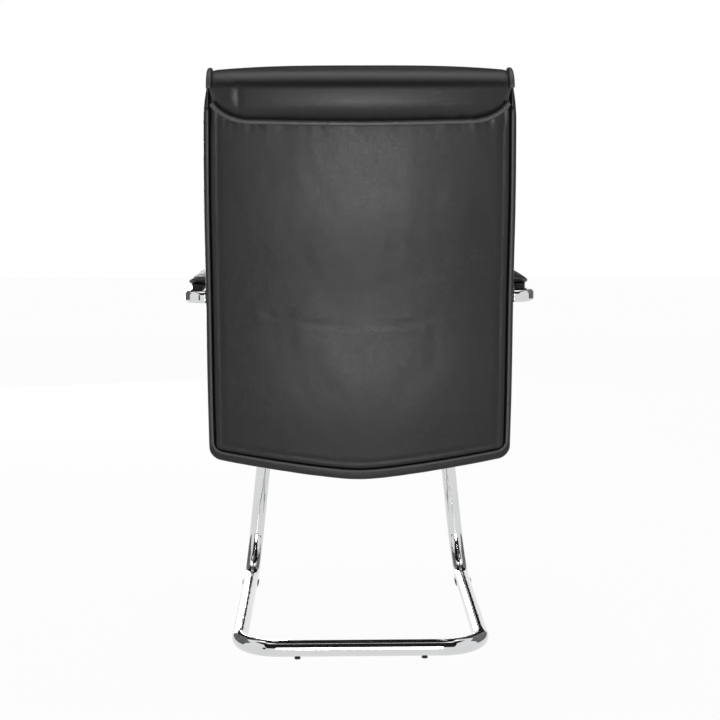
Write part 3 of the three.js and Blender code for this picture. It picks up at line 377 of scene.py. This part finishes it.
# %% Plastic, plywood, foam and felt
plastic, tree, shader, where = new_finish("moulded_plastic", specular=0.4)
spark = add_node(tree, "ShaderNodeTexNoise", {"Vector": where, "Scale": 1500.0, "Detail": 2.0})
scuff = add_node(tree, "ShaderNodeTexNoise", {"Vector": where, "Scale": 60.0, "Detail": 5.0})
colour_between(tree, shader, scuff.outputs[0], (0.012, 0.012, 0.013), (0.022, 0.022, 0.023))
rough_between(tree, shader, scuff.outputs[0], 0.45, 0.62)
bump(tree, shader, spark.outputs[0], 0.0001)

grey_plastic, tree, shader, where = new_finish("grey_glide_plastic", specular=0.4)
scuff = add_node(tree, "ShaderNodeTexNoise", {"Vector": where, "Scale": 80.0, "Detail": 5.0})
colour_between(tree, shader, scuff.outputs[0], (0.09, 0.09, 0.092), (0.16, 0.16, 0.162))
rough_between(tree, shader, scuff.outputs[0], 0.40, 0.60)
bump(tree, shader, scuff.outputs[0], 0.0003)

plywood, tree, shader, where = new_finish("birch_plywood")
stretched = add_node(tree, "ShaderNodeMapping", {"Vector": where, "Scale": (6.0, 90.0, 90.0)})
fibres = add_node(tree, "ShaderNodeTexNoise",
                  {"Vector": stretched.outputs[0], "Scale": 3.0, "Detail": 6.0})
colour_between(tree, shader, fibres.outputs[0], (0.36, 0.22, 0.11), (0.62, 0.45, 0.27))
rough_between(tree, shader, fibres.outputs[0], 0.55, 0.75)
bump(tree, shader, fibres.outputs[0], 0.0004)

foam, tree, shader, where = new_finish("open_cell_foam", specular=0.2)
pores = add_node(tree, "ShaderNodeTexVoronoi", {"Vector": where, "Scale": 700.0})
colour_between(tree, shader, pores.outputs["Distance"], (0.50, 0.43, 0.27), (0.68, 0.62, 0.45))
rough_between(tree, shader, pores.outputs["Distance"], 0.85, 1.0)
bump(tree, shader, pores.outputs["Distance"], 0.0008)

felt, tree, shader, where = new_finish("black_felt", specular=0.1)
fuzz = add_node(tree, "ShaderNodeTexNoise", {"Vector": where, "Scale": 900.0, "Detail": 6.0})
colour_between(tree, shader, fuzz.outputs[0], (0.008, 0.008, 0.008), (0.03, 0.03, 0.03))
rough_between(tree, shader, fuzz.outputs[0], 0.85, 1.0)
bump(tree, shader, fuzz.outputs[0], 0.0005)
print("plain finishes:", plastic.name, plywood.name, foam.name, felt.name)

# %% [markdown]
# The pieces whose solids are already right only need their finish. The record
# says which finish each node has, so the choice is read from there.

# %% Finish the solids that stay
finish_of_slot = {
    "chrome": chrome, "black_steel": steel, "zinc": zinc, "leather": back_leather,
    "piping": piping_leather_painted_highlight, "foam": foam, "plywood": plywood, "black_plastic": plastic,
    "felt": felt,
}
for part in frame["record"]["subparts"]:
    for holder in frame["nodes"][part["node"]].material_slots:
        holder.material = finish_of_slot[part["material_slot"]]

# %% [markdown]
# The base is one long tube, bent cold on a machine: two rails under the seat, two
# posts, two runners and the rear bar. A ring of points swept along that route
# gives it, with many small steps in each bend, so that the reflections run
# smoothly round it.

# %% Base tube
rail_z = -20.1
half_route = [on_seat(172, 110, rail_z), on_seat(172, -261, rail_z),
              on_floor(207, -267, 18), on_floor(207, 268, 18)]
mirrored = [Vector((-p.x, p.y, p.z)) for p in reversed(half_route)]
base_route = bent_route(half_route + mirrored, [r * mm for r in (80, 80, 70, 70, 80, 80)], 18)
base_tube = finished("bent_base_tube", round_bar(14, base_route, 48), chrome, "chrome", "base_tube")
print("base tube rings:", len(base_route))

# %% [markdown]
# Each rail ends in a moulded plug with a domed cap. Under the rear bar stand two
# small feet, and a saddle is clipped under each runner near its front bend. The
# plugs and feet are turned shapes. The saddle is a strip spun part of the way
# round the tube, with a flat foot under it.

# %% Tube plugs and glides
plug_profile = [(0, -14), (10.6, -14), (11, -13), (11, 0.2), (14, 0.2), (14, 1.2), (13.2, 2.4),
                (11, 3), (0, 3.4)]
stud_profile = [(0, 0), (4.4, 0), (5.3, 0.6), (5.5, 1.4), (5.2, 2.2), (3.2, 3.4), (2.6, 3.8),
                (2.6, 9), (0, 9)]
for name, sign in (("left", 1), ("right", -1)):
    plug = turned_piece(plug_profile)
    tip = Matrix.Rotation(-math.pi / 2 - seat_tilt, 4, "X")
    plug_place = Matrix.Translation(on_seat(sign * 172, 110, rail_z)) @ tip
    bmesh.ops.transform(plug, matrix=plug_place, verts=plug.verts)
    finished(f"rail_plug_{name}", plug, plastic, "black_plastic", f"tube_plug_{name}")
    stud = turned_piece(stud_profile)
    bmesh.ops.translate(stud, vec=on_floor(sign * 107, 268, 0), verts=stud.verts)
    finished(f"bar_foot_{name}", stud, plastic, "black_plastic", f"glide_rear_{name}")
    saddle = bmesh.new()
    bmesh.ops.create_grid(saddle, x_segments=1, y_segments=1, size=0.5)
    bmesh.ops.scale(saddle, vec=(1.7 * mm, 26 * mm, 1), verts=saddle.verts)
    bmesh.ops.bevel(saddle, geom=saddle.verts[:], offset=0.7 * mm, segments=3, profile=0.5, material=-1,
                    affect="VERTICES")
    bmesh.ops.translate(saddle, vec=(15.15 * mm, 0, 0), verts=saddle.verts)
    whole = saddle.faces[:] + saddle.edges[:] + saddle.verts[:]
    bmesh.ops.spin(saddle, geom=whole, cent=(0, 0, 0), axis=(0, 1, 0),
                   angle=math.pi, steps=24)
    foot = bmesh.ops.create_cube(saddle, size=1)["verts"]
    bmesh.ops.scale(saddle, vec=(15 * mm, 26 * mm, 3.2 * mm), verts=foot)
    foot_edges = list({e for v in foot for e in v.link_edges})
    bmesh.ops.bevel(saddle, geom=foot_edges, offset=0.8 * mm, segments=3,
                    profile=0.5, material=-1, affect="EDGES")
    foot = [v for v in saddle.verts if abs(v.co.z) < 1.7 * mm and abs(v.co.x) < 7.6 * mm]
    bmesh.ops.translate(saddle, vec=(0, 0, -16.4 * mm), verts=foot)
    bmesh.ops.translate(saddle, vec=on_floor(sign * 207, -174, 18), verts=saddle.verts)
    finished(f"runner_saddle_{name}", saddle, grey_plastic, "black_plastic", f"glide_front_{name}")
print("plugs, feet and saddles made")

# %% [markdown]
# Each arm is a flat oval tube: out of the back's side, forward, and down to its
# foot under the seat. Its section is a rectangle with its corners bevelled.

# %% Arm bars
arm_z, arm_x, arm_rear = 607, 277, 227
strap_high = -1.8
for name, sign in (("left", 1), ("right", -1)):
    foot = on_seat(sign * 272, -232, strap_high + 2)
    front = foot.y + (arm_z * mm - foot.z) * math.tan(seat_tilt)
    corners = [on_floor(sign * 254.5, arm_rear, arm_z), on_floor(sign * arm_x, arm_rear, arm_z),
               Vector((sign * arm_x * mm, front, arm_z * mm)), foot]
    bm = bmesh.new()
    bmesh.ops.create_grid(bm, x_segments=1, y_segments=1, size=0.5)
    bmesh.ops.scale(bm, vec=(30 * mm, 20 * mm, 1), verts=bm.verts)
    bmesh.ops.bevel(bm, geom=bm.verts[:], offset=6 * mm, segments=6, profile=0.5, material=-1,
                    affect="VERTICES")
    bmesh.ops.delete(bm, geom=bm.faces[:], context="FACES_ONLY")
    sweep(bm, bent_route(corners, [21 * mm, 52 * mm], 14))
    finished(f"arm_tube_{name}", bm, chrome, "chrome", f"arm_bar_{name}")
print("arm bars made")

# %% [markdown]
# Padded pieces swell where the foam pushes the leather out between the seams.
# Blender's Cloth does that: the piece is remeshed to an even net, held where it
# lies on its board, and blown up a little. A cap on the movement keeps it in the
# space that the solid has.

# %% Padding helper


def settled_copy(piece):
    graph = bpy.context.evaluated_depsgraph_get()
    return bpy.data.meshes.new_from_object(piece.evaluated_get(graph))


def swap_mesh(piece, mesh):
    finish = piece.data.materials[0]
    piece.modifiers.clear()
    piece.data = mesh
    mesh.materials.clear()
    mesh.materials.append(finish)
    mesh.polygons.foreach_set("use_smooth", [True] * len(mesh.polygons))


def puffed(piece, voxel, cap, held):
    net = piece.modifiers.new("net", "REMESH")
    net.mode = "VOXEL"
    net.voxel_size = voxel * mm
    swap_mesh(piece, settled_copy(piece))
    before = [v.co.copy() for v in piece.data.vertices]
    group = piece.vertex_groups.new(name="held")
    for i, at in enumerate(before):
        group.add([i], held(at), "REPLACE")
    cloth = piece.modifiers.new("swell", "CLOTH")
    cloth.settings.quality = 5
    cloth.settings.use_pressure = True
    cloth.settings.uniform_pressure_force = 4.0
    cloth.settings.vertex_group_mass = "held"
    cloth.settings.effector_weights.gravity = 0
    cloth.point_cache.frame_start, cloth.point_cache.frame_end = 1, 20
    for step in range(1, 21):
        bpy.context.scene.frame_set(step)
    swap_mesh(piece, settled_copy(piece))
    moved = 0
    for vert, start in zip(piece.data.vertices, before):
        step = vert.co - start
        if step.length > cap * mm:
            step *= cap * mm / step.length
        vert.co = start + step
        moved = max(moved, step.length)
    bpy.context.scene.frame_set(1)
    piece.vertex_groups.clear()
    print(piece.name, "swelled by up to", round(moved / mm, 1), "mm, vertices:", len(before))


def smoothed(piece):
    finer = piece.modifiers.new("finer", "SUBSURF")
    finer.levels = finer.render_levels = 1


print("padding helper ready")

# %% [markdown]
# The rear panel is one piece of leather over thin foam. It is drawn down to the
# groove all round, it bellies out a little in its middle, and a shallow
# smile-shaped fold crosses it. Under the flap the leather puckers.

# %% Rear panel
flap_line = 611
panel_half, panel_low, panel_top = 244, 21.5, flap_line + 38
panel_middle, panel_reach = (panel_low + panel_top) / 2, (panel_top - panel_low) / 2
fold_low, fold_bend = 267, 0.0005


def panel_point(a, b, c):
    across, along = crowded(a, 1.5), crowded(b, 1.5)
    x, y = cornered(across * panel_half, along * panel_reach, panel_half, panel_reach, 15)
    edge = min(panel_half - abs(x), panel_reach - abs(y))
    up = panel_middle + y
    level = (c + 1) / 2
    face = 1.5 + 5.5 * rolled_edge(edge, 9) + 5 * dome(across, along)
    off_fold = up - fold_low - fold_bend * x * x
    fade = max(0, 1 - (abs(x) / 215) ** 4)
    face -= 1.3 * fade * math.exp(-((off_fold / 2.6) ** 2))
    face += 0.6 * fade * math.exp(-(((off_fold + 7) / 5) ** 2))
    under = max(0, flap_line - 6 - up)
    face += 3.0 * (noise.noise(Vector((x / 9, 0.4, 2.0))) - 0.3) * math.exp(-under / 10)
    waver = 1 + noise.noise(Vector((up / 45, math.copysign(4.0, x), 6.0)))
    face -= 1.1 * waver * math.exp(-(((edge - 13) / 4) ** 2))
    ripple = 1.1 * noise.noise(Vector((x / 60, up / 90, 3.0)))
    ripple += 0.5 * noise.noise(Vector((x / 22, up / 40, 9.0)))
    return on_back(x, up, -15 - level * (face + ripple * dome(across, along)))


panel_bm = gridded_block((94, 112, 2), panel_point)
rear_panel = finished("rear_leather_panel", panel_bm, back_leather, "leather", "rear_panel")
smoothed(rear_panel)
print("rear panel faces:", len(rear_panel.data.polygons))

# %% [markdown]
# The boxing is the strip that closes the back round its sides and bottom. Its
# outline runs down one side, round a corner, along the bottom and up again, and a
# rounded section follows it: narrow at the sides and deeper at the bottom.

# %% Boxing
boxing_top, taper_from = 662, 600
boxing_deep = 44


def outline_point(share, half, low, corner, top):
    """A point of half the outline: 0 is the top of the side and 1 the middle of the bottom."""
    if share < 0.55:
        up = top + (low + corner - top) * share / 0.55
        taper = max(0, (up - taper_from) / (boxing_top - taper_from)) ** 2 * (half == back_half)
        return half - 6 * taper, up
    if share < 0.65:
        swing = (share - 0.55) / 0.1 * math.pi / 2
        return half - corner + corner * math.cos(swing), low + corner - corner * math.sin(swing)
    return (half - corner) * (1 - (share - 0.65) / 0.35), low


def boxing_point(a, b, c):
    share = 1 - abs(a)
    sign = math.copysign(1, a)
    outer = Vector(outline_point(share, back_half, 0, 20, boxing_top))
    inner = Vector(outline_point(share, back_half - 11, 21, 14.5, boxing_top))
    wide = (outer - inner).length
    u, v = cornered(b * wide / 2, c * boxing_deep / 2, wide / 2, boxing_deep / 2, 4.8)
    at = inner.lerp(outer, (u / wide) + 0.5)
    swell = 1.2 * (1 - b * b) * max(0, -c)
    puff = 0.8 * noise.noise(Vector((at.x / 25 * sign, at.y / 25, 1.7)))
    return on_back(sign * at.x, at.y, 6 + v - swell - puff * max(0, -c))


boxing_bm = gridded_block((260, 8, 12), boxing_point)
boxing = finished("back_boxing_strip", boxing_bm, back_leather, "leather", "back_boxing")
smoothed(boxing)
print("boxing faces:", len(boxing.data.polygons))

# %% [markdown]
# A thin welt lies in the groove between the panel and the boxing. Like every
# piping it is a leather sleeve round a string, so it is a swept ring.

# %% Rear welt
welt_across, welt_low, welt_front, welt_turn = 248.4, 18.3, -19.4, 17.3
welt_half = [(welt_across, flap_line + 14 - k * 24.5) for k in range(24)]
welt_half += [(welt_across - welt_turn * (1 - math.cos(s)), welt_low + welt_turn * (1 - math.sin(s)))
              for s in (k * math.pi / 16 for k in range(1, 8))]
welt_half += [(x, welt_low) for x in range(225, 0, -25)]
welt_line = [*welt_half, (0, welt_low), *((-x, up) for x, up in reversed(welt_half))]
welt_points = smooth_line([on_back(x, up, welt_front) for x, up in welt_line], 3)
welt_cord = round_bar(2.4, cord_route(welt_points), 12)
finished("rear_groove_welt", welt_cord, piping_leather_painted_highlight, "piping", "rear_welt")
print("welt points:", len(welt_points))

# %% [markdown]
# The main cushion of the back is out of sight in the photograph. It is a plain
# crowned cushion, full in its middle and drawn in at its edges.

# %% Back cushion
cushion_low, cushion_top = 2, 500
cushion_middle, cushion_reach = (cushion_low + cushion_top) / 2, (cushion_top - cushion_low) / 2
cushion_half = back_half - 3


def cushion_point(a, b, c):
    across, along = crowded(a, 1.35), crowded(b, 1.35)
    x, y = cornered(across * cushion_half, along * cushion_reach, cushion_half, cushion_reach, 24)
    edge = min(cushion_half - abs(x), cushion_reach - abs(y))
    level = (c + 1) / 2
    draw = 1 - (2 + 2 * c * c) / back_half
    face = 18 + 4 * rolled_edge(edge, 14) + 22 * dome(across, along, 2.6)
    return on_back(x * draw, cushion_middle + y * (1 - 1.5 / cushion_reach), 29 + level * face)


cushion_bm = gridded_block((48, 48, 5), cushion_point)
back_cushion = finished("back_main_cushion", cushion_bm, seat_leather, "leather", "back_cushion")
print("back cushion faces:", len(back_cushion.data.polygons))

# %% [markdown]
# The head roll is a pad that goes up the front, bends over the top and hangs down
# behind as a flap with rounded ends. Its grid follows that wrap from the front
# seam to the flap's edge. The leather dips beside the piping, puckers along the
# seam, and has one crease near the sitter's left end.

# %% Head roll
roll_half, flat_half = 246, 177
roll_front, roll_rear = 29, -25.5
roll_middle, roll_radius = (roll_front + roll_rear) / 2, (roll_front - roll_rear) / 2
roll_low, roll_line, bend_rise = 500.3, 662, 6
crest, flap_tuck = 0.52, 6


def flap_edge(across):
    over = min(1, max(0, (abs(across) - flat_half) / (roll_half - flat_half)))
    return flap_line + 48 * (1 - math.sqrt(max(0, 1 - over * over)))


def roll_inner(share, across):
    if share < 0.42:
        return roll_front, roll_low + share / 0.42 * (roll_line - roll_low), 0
    if share < 0.62:
        turn = math.pi * (share - 0.42) / 0.2
        return roll_middle + roll_radius * math.cos(turn), roll_line + bend_rise * math.sin(turn), turn
    fall = (share - 0.62) / 0.38
    return roll_rear, roll_line - fall * (roll_line - flap_edge(across)), math.pi


def roll_thickness(share, reach):
    full = 1 - abs(reach) ** 3.2
    if share < crest:
        rise = share / crest
        return 20 - 4 * rise + full * (4 * rise + 30 * math.sin(math.pi * rise))
    fall = (share - crest) / (1 - crest)
    return 16 - 8 * fall + full * (4 * (1 - fall) + 9 * math.sin(math.pi * fall))


def roll_reach(a):
    past = abs(a) - 0.5
    if past <= 0:
        return a * flat_half / roll_half / 0.5
    flat = flat_half / roll_half
    return math.copysign(flat + (1 - flat) * math.sin(math.pi * past), a)


def roll_across(reach, share):
    return reach * (roll_half - flap_tuck * max(0, share - crest) / (1 - crest))


def roll_at(reach, share, out):
    across = roll_across(reach, share)
    front, up, turn = roll_inner(share, across)
    return on_back(across, up + out * math.sin(turn), front + out * math.cos(turn))


def roll_point(a, b, c):
    reach, share = roll_reach(a), (crowded(b, 1.15) + 1) / 2
    across = roll_across(reach, share)
    thick = roll_thickness(share, reach)
    seam = (1 - share) / 0.38 * max(1, roll_line - flap_edge(across))
    if share > 0.6:
        pucker = noise.noise(Vector((across / 14, 0.3, 5.0))) * 1.6 * math.exp(-seam / 12)
        dip = 3.2 * math.exp(-((seam / 9) ** 2)) - 1.2 * math.exp(-(((seam - 22) / 12) ** 2))
        crease = 2.8 * math.exp(-(((across - 196) / 4.5) ** 2))
        crease -= 1.2 * math.exp(-(((across - 211) / 9) ** 2))
        thick += pucker - dip - crease * math.exp(-(((seam - 32) / 18) ** 2))
    side = roll_half * (1 - abs(reach))
    thick -= 2.5 * math.exp(-((side / 7) ** 2))
    return roll_at(reach, share, max(1.5, thick) * (c + 1) / 2)


roll_bm = gridded_block((110, 90, 3), roll_point)
head_roll = finished("head_roll_pad", roll_bm, back_leather, "leather", "head_roll")
smoothed(head_roll)
print("head roll faces:", len(head_roll.data.polygons))

# %% [markdown]
# Piping is sewn in along the flap's edge and along both front edges of the back,
# over the top corners. The three cords meet behind the corners.

# %% Piping of the back
cord_radius = 4.2
drop = Vector((0, 0, -3.5 * mm))
flat_share = flat_half / roll_half
end_reaches = [flat_share + (1 - flat_share) * math.sin(math.radians(s)) for s in range(90, -1, -10)]
flat_reaches = [flat_share * (1 - k / 14) for k in range(1, 15)]
flap_half = [roll_at(r, 1, 5.5) + drop for r in end_reaches + flat_reaches]
flap_points = smooth_line(flap_half + [Vector((-p.x, p.y, p.z)) for p in reversed(flap_half[:-1])], 7)
flap_cord = round_bar(cord_radius + 0.5, cord_route(flap_points), 14)
flap_cord.normal_update()
for vert in flap_cord.verts:
    across = vert.co.x / mm
    pinch = sum(math.exp(-(((across - join) / 1.3) ** 2)) for join in (97, 53, -61))
    crinkle = noise.noise(Vector((across / 7, vert.co.z / mm / 5, 8.0)))
    vert.co -= vert.normal * (0.9 * pinch + 0.35 * crinkle) * mm
finished("flap_edge_piping", flap_cord, piping_leather_painted_highlight, "piping", "flap_piping")
front_shares = [0.05, 0.12, 0.19, 0.26, 0.33, 0.38, 0.42, 0.45, 0.48, 0.51, 0.54, 0.57, 0.60, 0.62]
for name, sign in (("left", 1), ("right", -1)):
    line = [on_back(sign * (back_half - 6.5), 22 + k * 41.5, 47.5) for k in range(12)]
    line += [roll_at(sign, s, roll_thickness(s, 1)) for s in front_shares]
    points = smooth_line(line, 3)
    edge_cord = round_bar(cord_radius, cord_route(points), 14)
    finished(f"front_edge_piping_{name}", edge_cord, piping_leather_painted_highlight, "piping", f"front_piping_{name}")
print("piping of the back made")

# %% [markdown]
# The seat is a foam block over a board, in a leather cover with piping round its
# upper edge. The front edge rolls down, the top is crowned, and the sides are
# drawn in at the piping and at the board.

# %% Seat cushion and its piping
seat_half, seat_front, seat_rear = 249, -318, 132
seat_middle, seat_reach = (seat_front + seat_rear) / 2, (seat_rear - seat_front) / 2
piping_level = 12.3 + 88 * 0.72


def seat_point(a, b, c):
    across, along = crowded(a, 1.4), crowded(b, 1.4)
    x, y = cornered(across * seat_half, along * seat_reach, seat_half, seat_reach, 42)
    level = (c + 1) / 2
    edge = min(seat_half - abs(x), seat_reach - abs(y))
    tall = 84 + 16 * rolled_edge(edge, 30) + 20 * dome(across, along, 2.6)
    height = level * tall
    groove = 1.5 * math.exp(-(((height - piping_level) / 5) ** 2))
    draw = 1 - (1.5 + 7.5 * max(0, -c) ** 2 + 2.5 * max(0, c) ** 2 + groove) / seat_half
    roll_down = 14 * max(0, -along) ** 3 * max(0, height - piping_level) / 30
    return on_seat(x * draw, y * draw + seat_middle, height - roll_down)


seat_bm = gridded_block((52, 48, 14), seat_point)
seat_cushion = finished("seat_main_cushion", seat_bm, seat_leather, "leather", "seat_cushion")
piping_x, piping_front, piping_rear = seat_half - 1.8, seat_front + 1.8, seat_rear - 1.8
piping_corners = [on_seat(x, y, piping_level) for x, y in (
    (0.3, piping_rear), (piping_x, piping_rear), (piping_x, piping_front), (-piping_x, piping_front),
    (-piping_x, piping_rear), (-0.3, piping_rear))]
seat_cord = round_bar(3.6, bent_route(piping_corners, [40 * mm] * 4, 12), 14)
seat_piping = finished("seat_edge_piping", seat_cord, piping_leather_painted_highlight, "piping", "seat_piping")
print("seat cushion faces:", len(seat_cushion.data.polygons))

# %% [markdown]
# Each arm has a long narrow pad with round ends, thin at its rim and full along
# its middle, screwed down through the chrome tube.

# %% Arm pads
pad_half, pad_reach, pad_x, pad_y, pad_z = 28, 131, 264, 19, 621.6
for name, sign in (("left", 1), ("right", -1)):

    def pad_point(a, b, c):
        across, along = crowded(a, 1.3), crowded(b, 1.3)
        x, y = cornered(across * pad_half, along * pad_reach, pad_half, pad_reach, 25)
        edge = min(pad_half - abs(x), pad_reach - abs(y))
        level = (c + 1) / 2
        face = 2.5 + 8.5 * rolled_edge(edge, 14) + 4 * dome(across, along, 2.4)
        draw = 1 - 2.5 * (1 - level) / pad_half
        return on_floor(sign * pad_x + x * draw, pad_y + y * draw, pad_z + level * face)

    pad_bm = gridded_block((20, 48, 3), pad_point)
    arm_pad = finished(f"arm_leather_pad_{name}", pad_bm, seat_leather, "leather", f"arm_pad_{name}")
    smoothed(arm_pad)
print("arm pads made")

# %% [markdown]
# The big cushions are blown up a little. Each is held at the side that lies on its
# board and along its seams, so that the piping stays sewn to it.

# %% Blow up the cushions
seat_floor = on_seat(0, 0, 30).z
seam = kdtree.KDTree(len(seat_piping.data.vertices))
for i, vert in enumerate(seat_piping.data.vertices):
    seam.insert(vert.co, i)
seam.balance()

def seat_held(at):
    low = at.z < seat_floor - at.y * math.tan(seat_tilt)
    return 1.0 if low or seam.find(at)[2] < 8 * mm else 0.0

def back_held(at):
    off_y, off_z = at.y / mm - chair_shift - back_y, at.z / mm - back_z
    local_y = off_y * math.cos(recline) - off_z * math.sin(recline)
    up = off_y * math.sin(recline) + off_z * math.cos(recline)
    reach = at.x / mm / back_half
    rim = abs(reach) > 0.94 or up < cushion_low + 12 or up > cushion_top - 12
    return 1.0 if rim or local_y > -29 - 12 - 26 * reach * reach - 3 else 0.0

puffed(seat_cushion, 6, 8, seat_held)
puffed(back_cushion, 6, 6, back_held)
smoothed(seat_cushion)
smoothed(back_cushion)
print("cushions settled")

# %% [markdown]
# The chair stands on a pale floor in front of nothing. The floor and the world
# look white to the camera and in reflections. A low lamp behind the chair gives
# the leather of its back a glow, and wide lamps behind the camera, above and in
# front fill the rest, with a half-strength world.

# %% Floor, world and lamps
floor_bm = bmesh.new()
bmesh.ops.create_grid(floor_bm, x_segments=1, y_segments=1, size=9)
floor_mesh = bpy.data.meshes.new("studio_floor")
floor_bm.to_mesh(floor_mesh)
floor_bm.free()
floor = bpy.data.objects.new("studio_floor", floor_mesh)
bpy.context.scene.collection.objects.link(floor)


def seen_white(tree):
    path = add_node(tree, "ShaderNodeLightPath")
    glossy = add_node(tree, "ShaderNodeMath",
                      {0: path.outputs["Is Camera Ray"], 1: path.outputs["Is Glossy Ray"]},
                      operation="MAXIMUM")
    return add_node(tree, "ShaderNodeMath", {0: glossy.outputs[0], 1: path.outputs["Is Transmission Ray"]},
                    operation="MAXIMUM").outputs[0]


floor_finish, tree, shader, where = new_finish("pale_floor", specular=0.1, Roughness=0.9)
speck = add_node(tree, "ShaderNodeTexNoise", {"Vector": where, "Scale": 40.0, "Detail": 3.0})
colour_between(tree, shader, speck.outputs[0], (0.84, 0.84, 0.84), (0.88, 0.88, 0.88))
glow = add_node(tree, "ShaderNodeEmission", {"Color": (1, 1, 1, 1), "Strength": 1.0})
share = add_node(tree, "ShaderNodeMath", {0: seen_white(tree), 1: 0.96}, operation="MULTIPLY")
whitened = add_node(tree, "ShaderNodeMixShader",
                    {0: share.outputs[0], 1: shader.outputs[0], 2: glow.outputs[0]})
tree.links.new(whitened.outputs[0], tree.nodes["Material Output"].inputs["Surface"])
floor_mesh.materials.append(floor_finish)

world = bpy.data.worlds.new("studio_world")
bpy.context.scene.world = world
world.use_nodes = True
tree = world.node_tree
backdrop = tree.nodes["Background"]
backdrop.inputs["Color"].default_value = (1, 1, 1, 1)
tree.links.new(spread(tree, seen_white(tree), 0.5, 1.0), backdrop.inputs["Strength"])


def add_lamp(name, at, aim, size, power):
    light = bpy.data.lights.new(name, "AREA")
    light.shape = "RECTANGLE"
    light.size, light.size_y = size
    light.energy = power
    lamp = bpy.data.objects.new(name, light)
    lamp.location = at
    lamp.rotation_euler = (Vector(aim) - Vector(at)).to_track_quat("-Z", "Y").to_euler()
    bpy.context.scene.collection.objects.link(lamp)


add_lamp("low_softbox", (-0.05, 1.85, 0.1), (-0.05, 1.2, 1.6), (0.5, 0.9), 34)
add_lamp("rear_softbox", (0.1, 3.4, 1.0), (0, 0.2, 0.6), (1.3, 1.0), 16)
add_lamp("overhead_softbox", (0, -0.3, 3.1), (0, 0, 0.5), (2.4, 2.2), 22)
add_lamp("front_softbox", (0.9, -3.2, 0.6), (0, 0, 0.5), (1.4, 0.9), 40)
print("lamps set")

# %% [markdown]
# Chrome shows the room, so the room has cards in it: dark ones above the camera,
# overhead and high in front, a grey one on each side, and a narrow dark one near
# the camera. They give the tubes their dark strip and their grey edges, and keep
# the top of the head roll dark. The camera itself doesn't see them, whichever way
# it looks.

# %% Cards round the chair


def add_card(name, at, aim, size, shade):
    bm = bmesh.new()
    bmesh.ops.create_grid(bm, x_segments=1, y_segments=1, size=0.5)
    bmesh.ops.scale(bm, vec=(size[0], size[1], 1), verts=bm.verts)
    mesh = bpy.data.meshes.new(name)
    bm.to_mesh(mesh)
    bm.free()
    card = bpy.data.objects.new(name, mesh)
    card.location = at
    card.rotation_euler = (Vector(aim) - Vector(at)).to_track_quat("-Z", "Y").to_euler()
    card.visible_camera = False
    bpy.context.scene.collection.objects.link(card)
    finish, tree, shader, where = new_finish(name, specular=0.0, Roughness=1.0)
    cloth = add_node(tree, "ShaderNodeTexNoise", {"Vector": where, "Scale": 6.0, "Detail": 3.0})
    colour_between(tree, shader, cloth.outputs[0], (shade * 0.8,) * 3, (shade * 1.2,) * 3)
    mesh.materials.append(finish)


add_card("dark_drape", (0, 3.1, 2.5), (0, 0.2, 0.3), (5.0, 3.4), 0.03)
add_card("dark_ceiling", (0, 0.8, 3.9), (0, 0.8, 0), (5.0, 3.0), 0.03)
add_card("dark_front", (0, -3.9, 2.9), (0, 0, 0.9), (7.0, 3.8), 0.04)
add_card("grey_flat_left", (2.1, -1.1, 1.1), (0, 0.2, 0.6), (2.8, 2.2), 0.3)
add_card("grey_flat_right", (-2.1, -1.1, 1.1), (0, 0.2, 0.6), (2.8, 2.2), 0.3)
add_card("lamp_stand", (1.5, 2.0, 0.4), (0.2, 0.1, 0.3), (0.3, 0.8), 0.02)
print("cards set")

# %% [markdown]
# The photograph was taken from behind, a little above the arms. Its lens and
# place were found by fitting the chair's outline to the picture.

# %% Camera
pitch, yaw, roll = math.radians(6.958), math.radians(-1.013), math.radians(-0.152)
forward = Vector((math.sin(yaw) * math.cos(pitch), -math.cos(yaw) * math.cos(pitch), -math.sin(pitch)))
right = forward.cross(Vector((0, 0, 1))).normalized()
upward = right.cross(forward)
tilted_right = right * math.cos(roll) + upward * math.sin(roll)
tilted_up = upward * math.cos(roll) - right * math.sin(roll)
lens = bpy.data.cameras.new("photo_camera")
lens.sensor_width = 36
lens.lens = 79.69
lens.clip_end = 60
camera = bpy.data.objects.new("photo_camera", lens)
turned = Matrix((tilted_right, tilted_up, -forward)).transposed().to_4x4()
camera_place = (0.04657, 2.868 + chair_shift * mm, 0.8228)
camera.matrix_world = Matrix.Translation(camera_place) @ turned
bpy.context.scene.collection.objects.link(camera)
bpy.context.scene.camera = camera
bpy.context.scene.view_settings.view_transform = "Standard"
print("camera at", camera.matrix_world.translation)
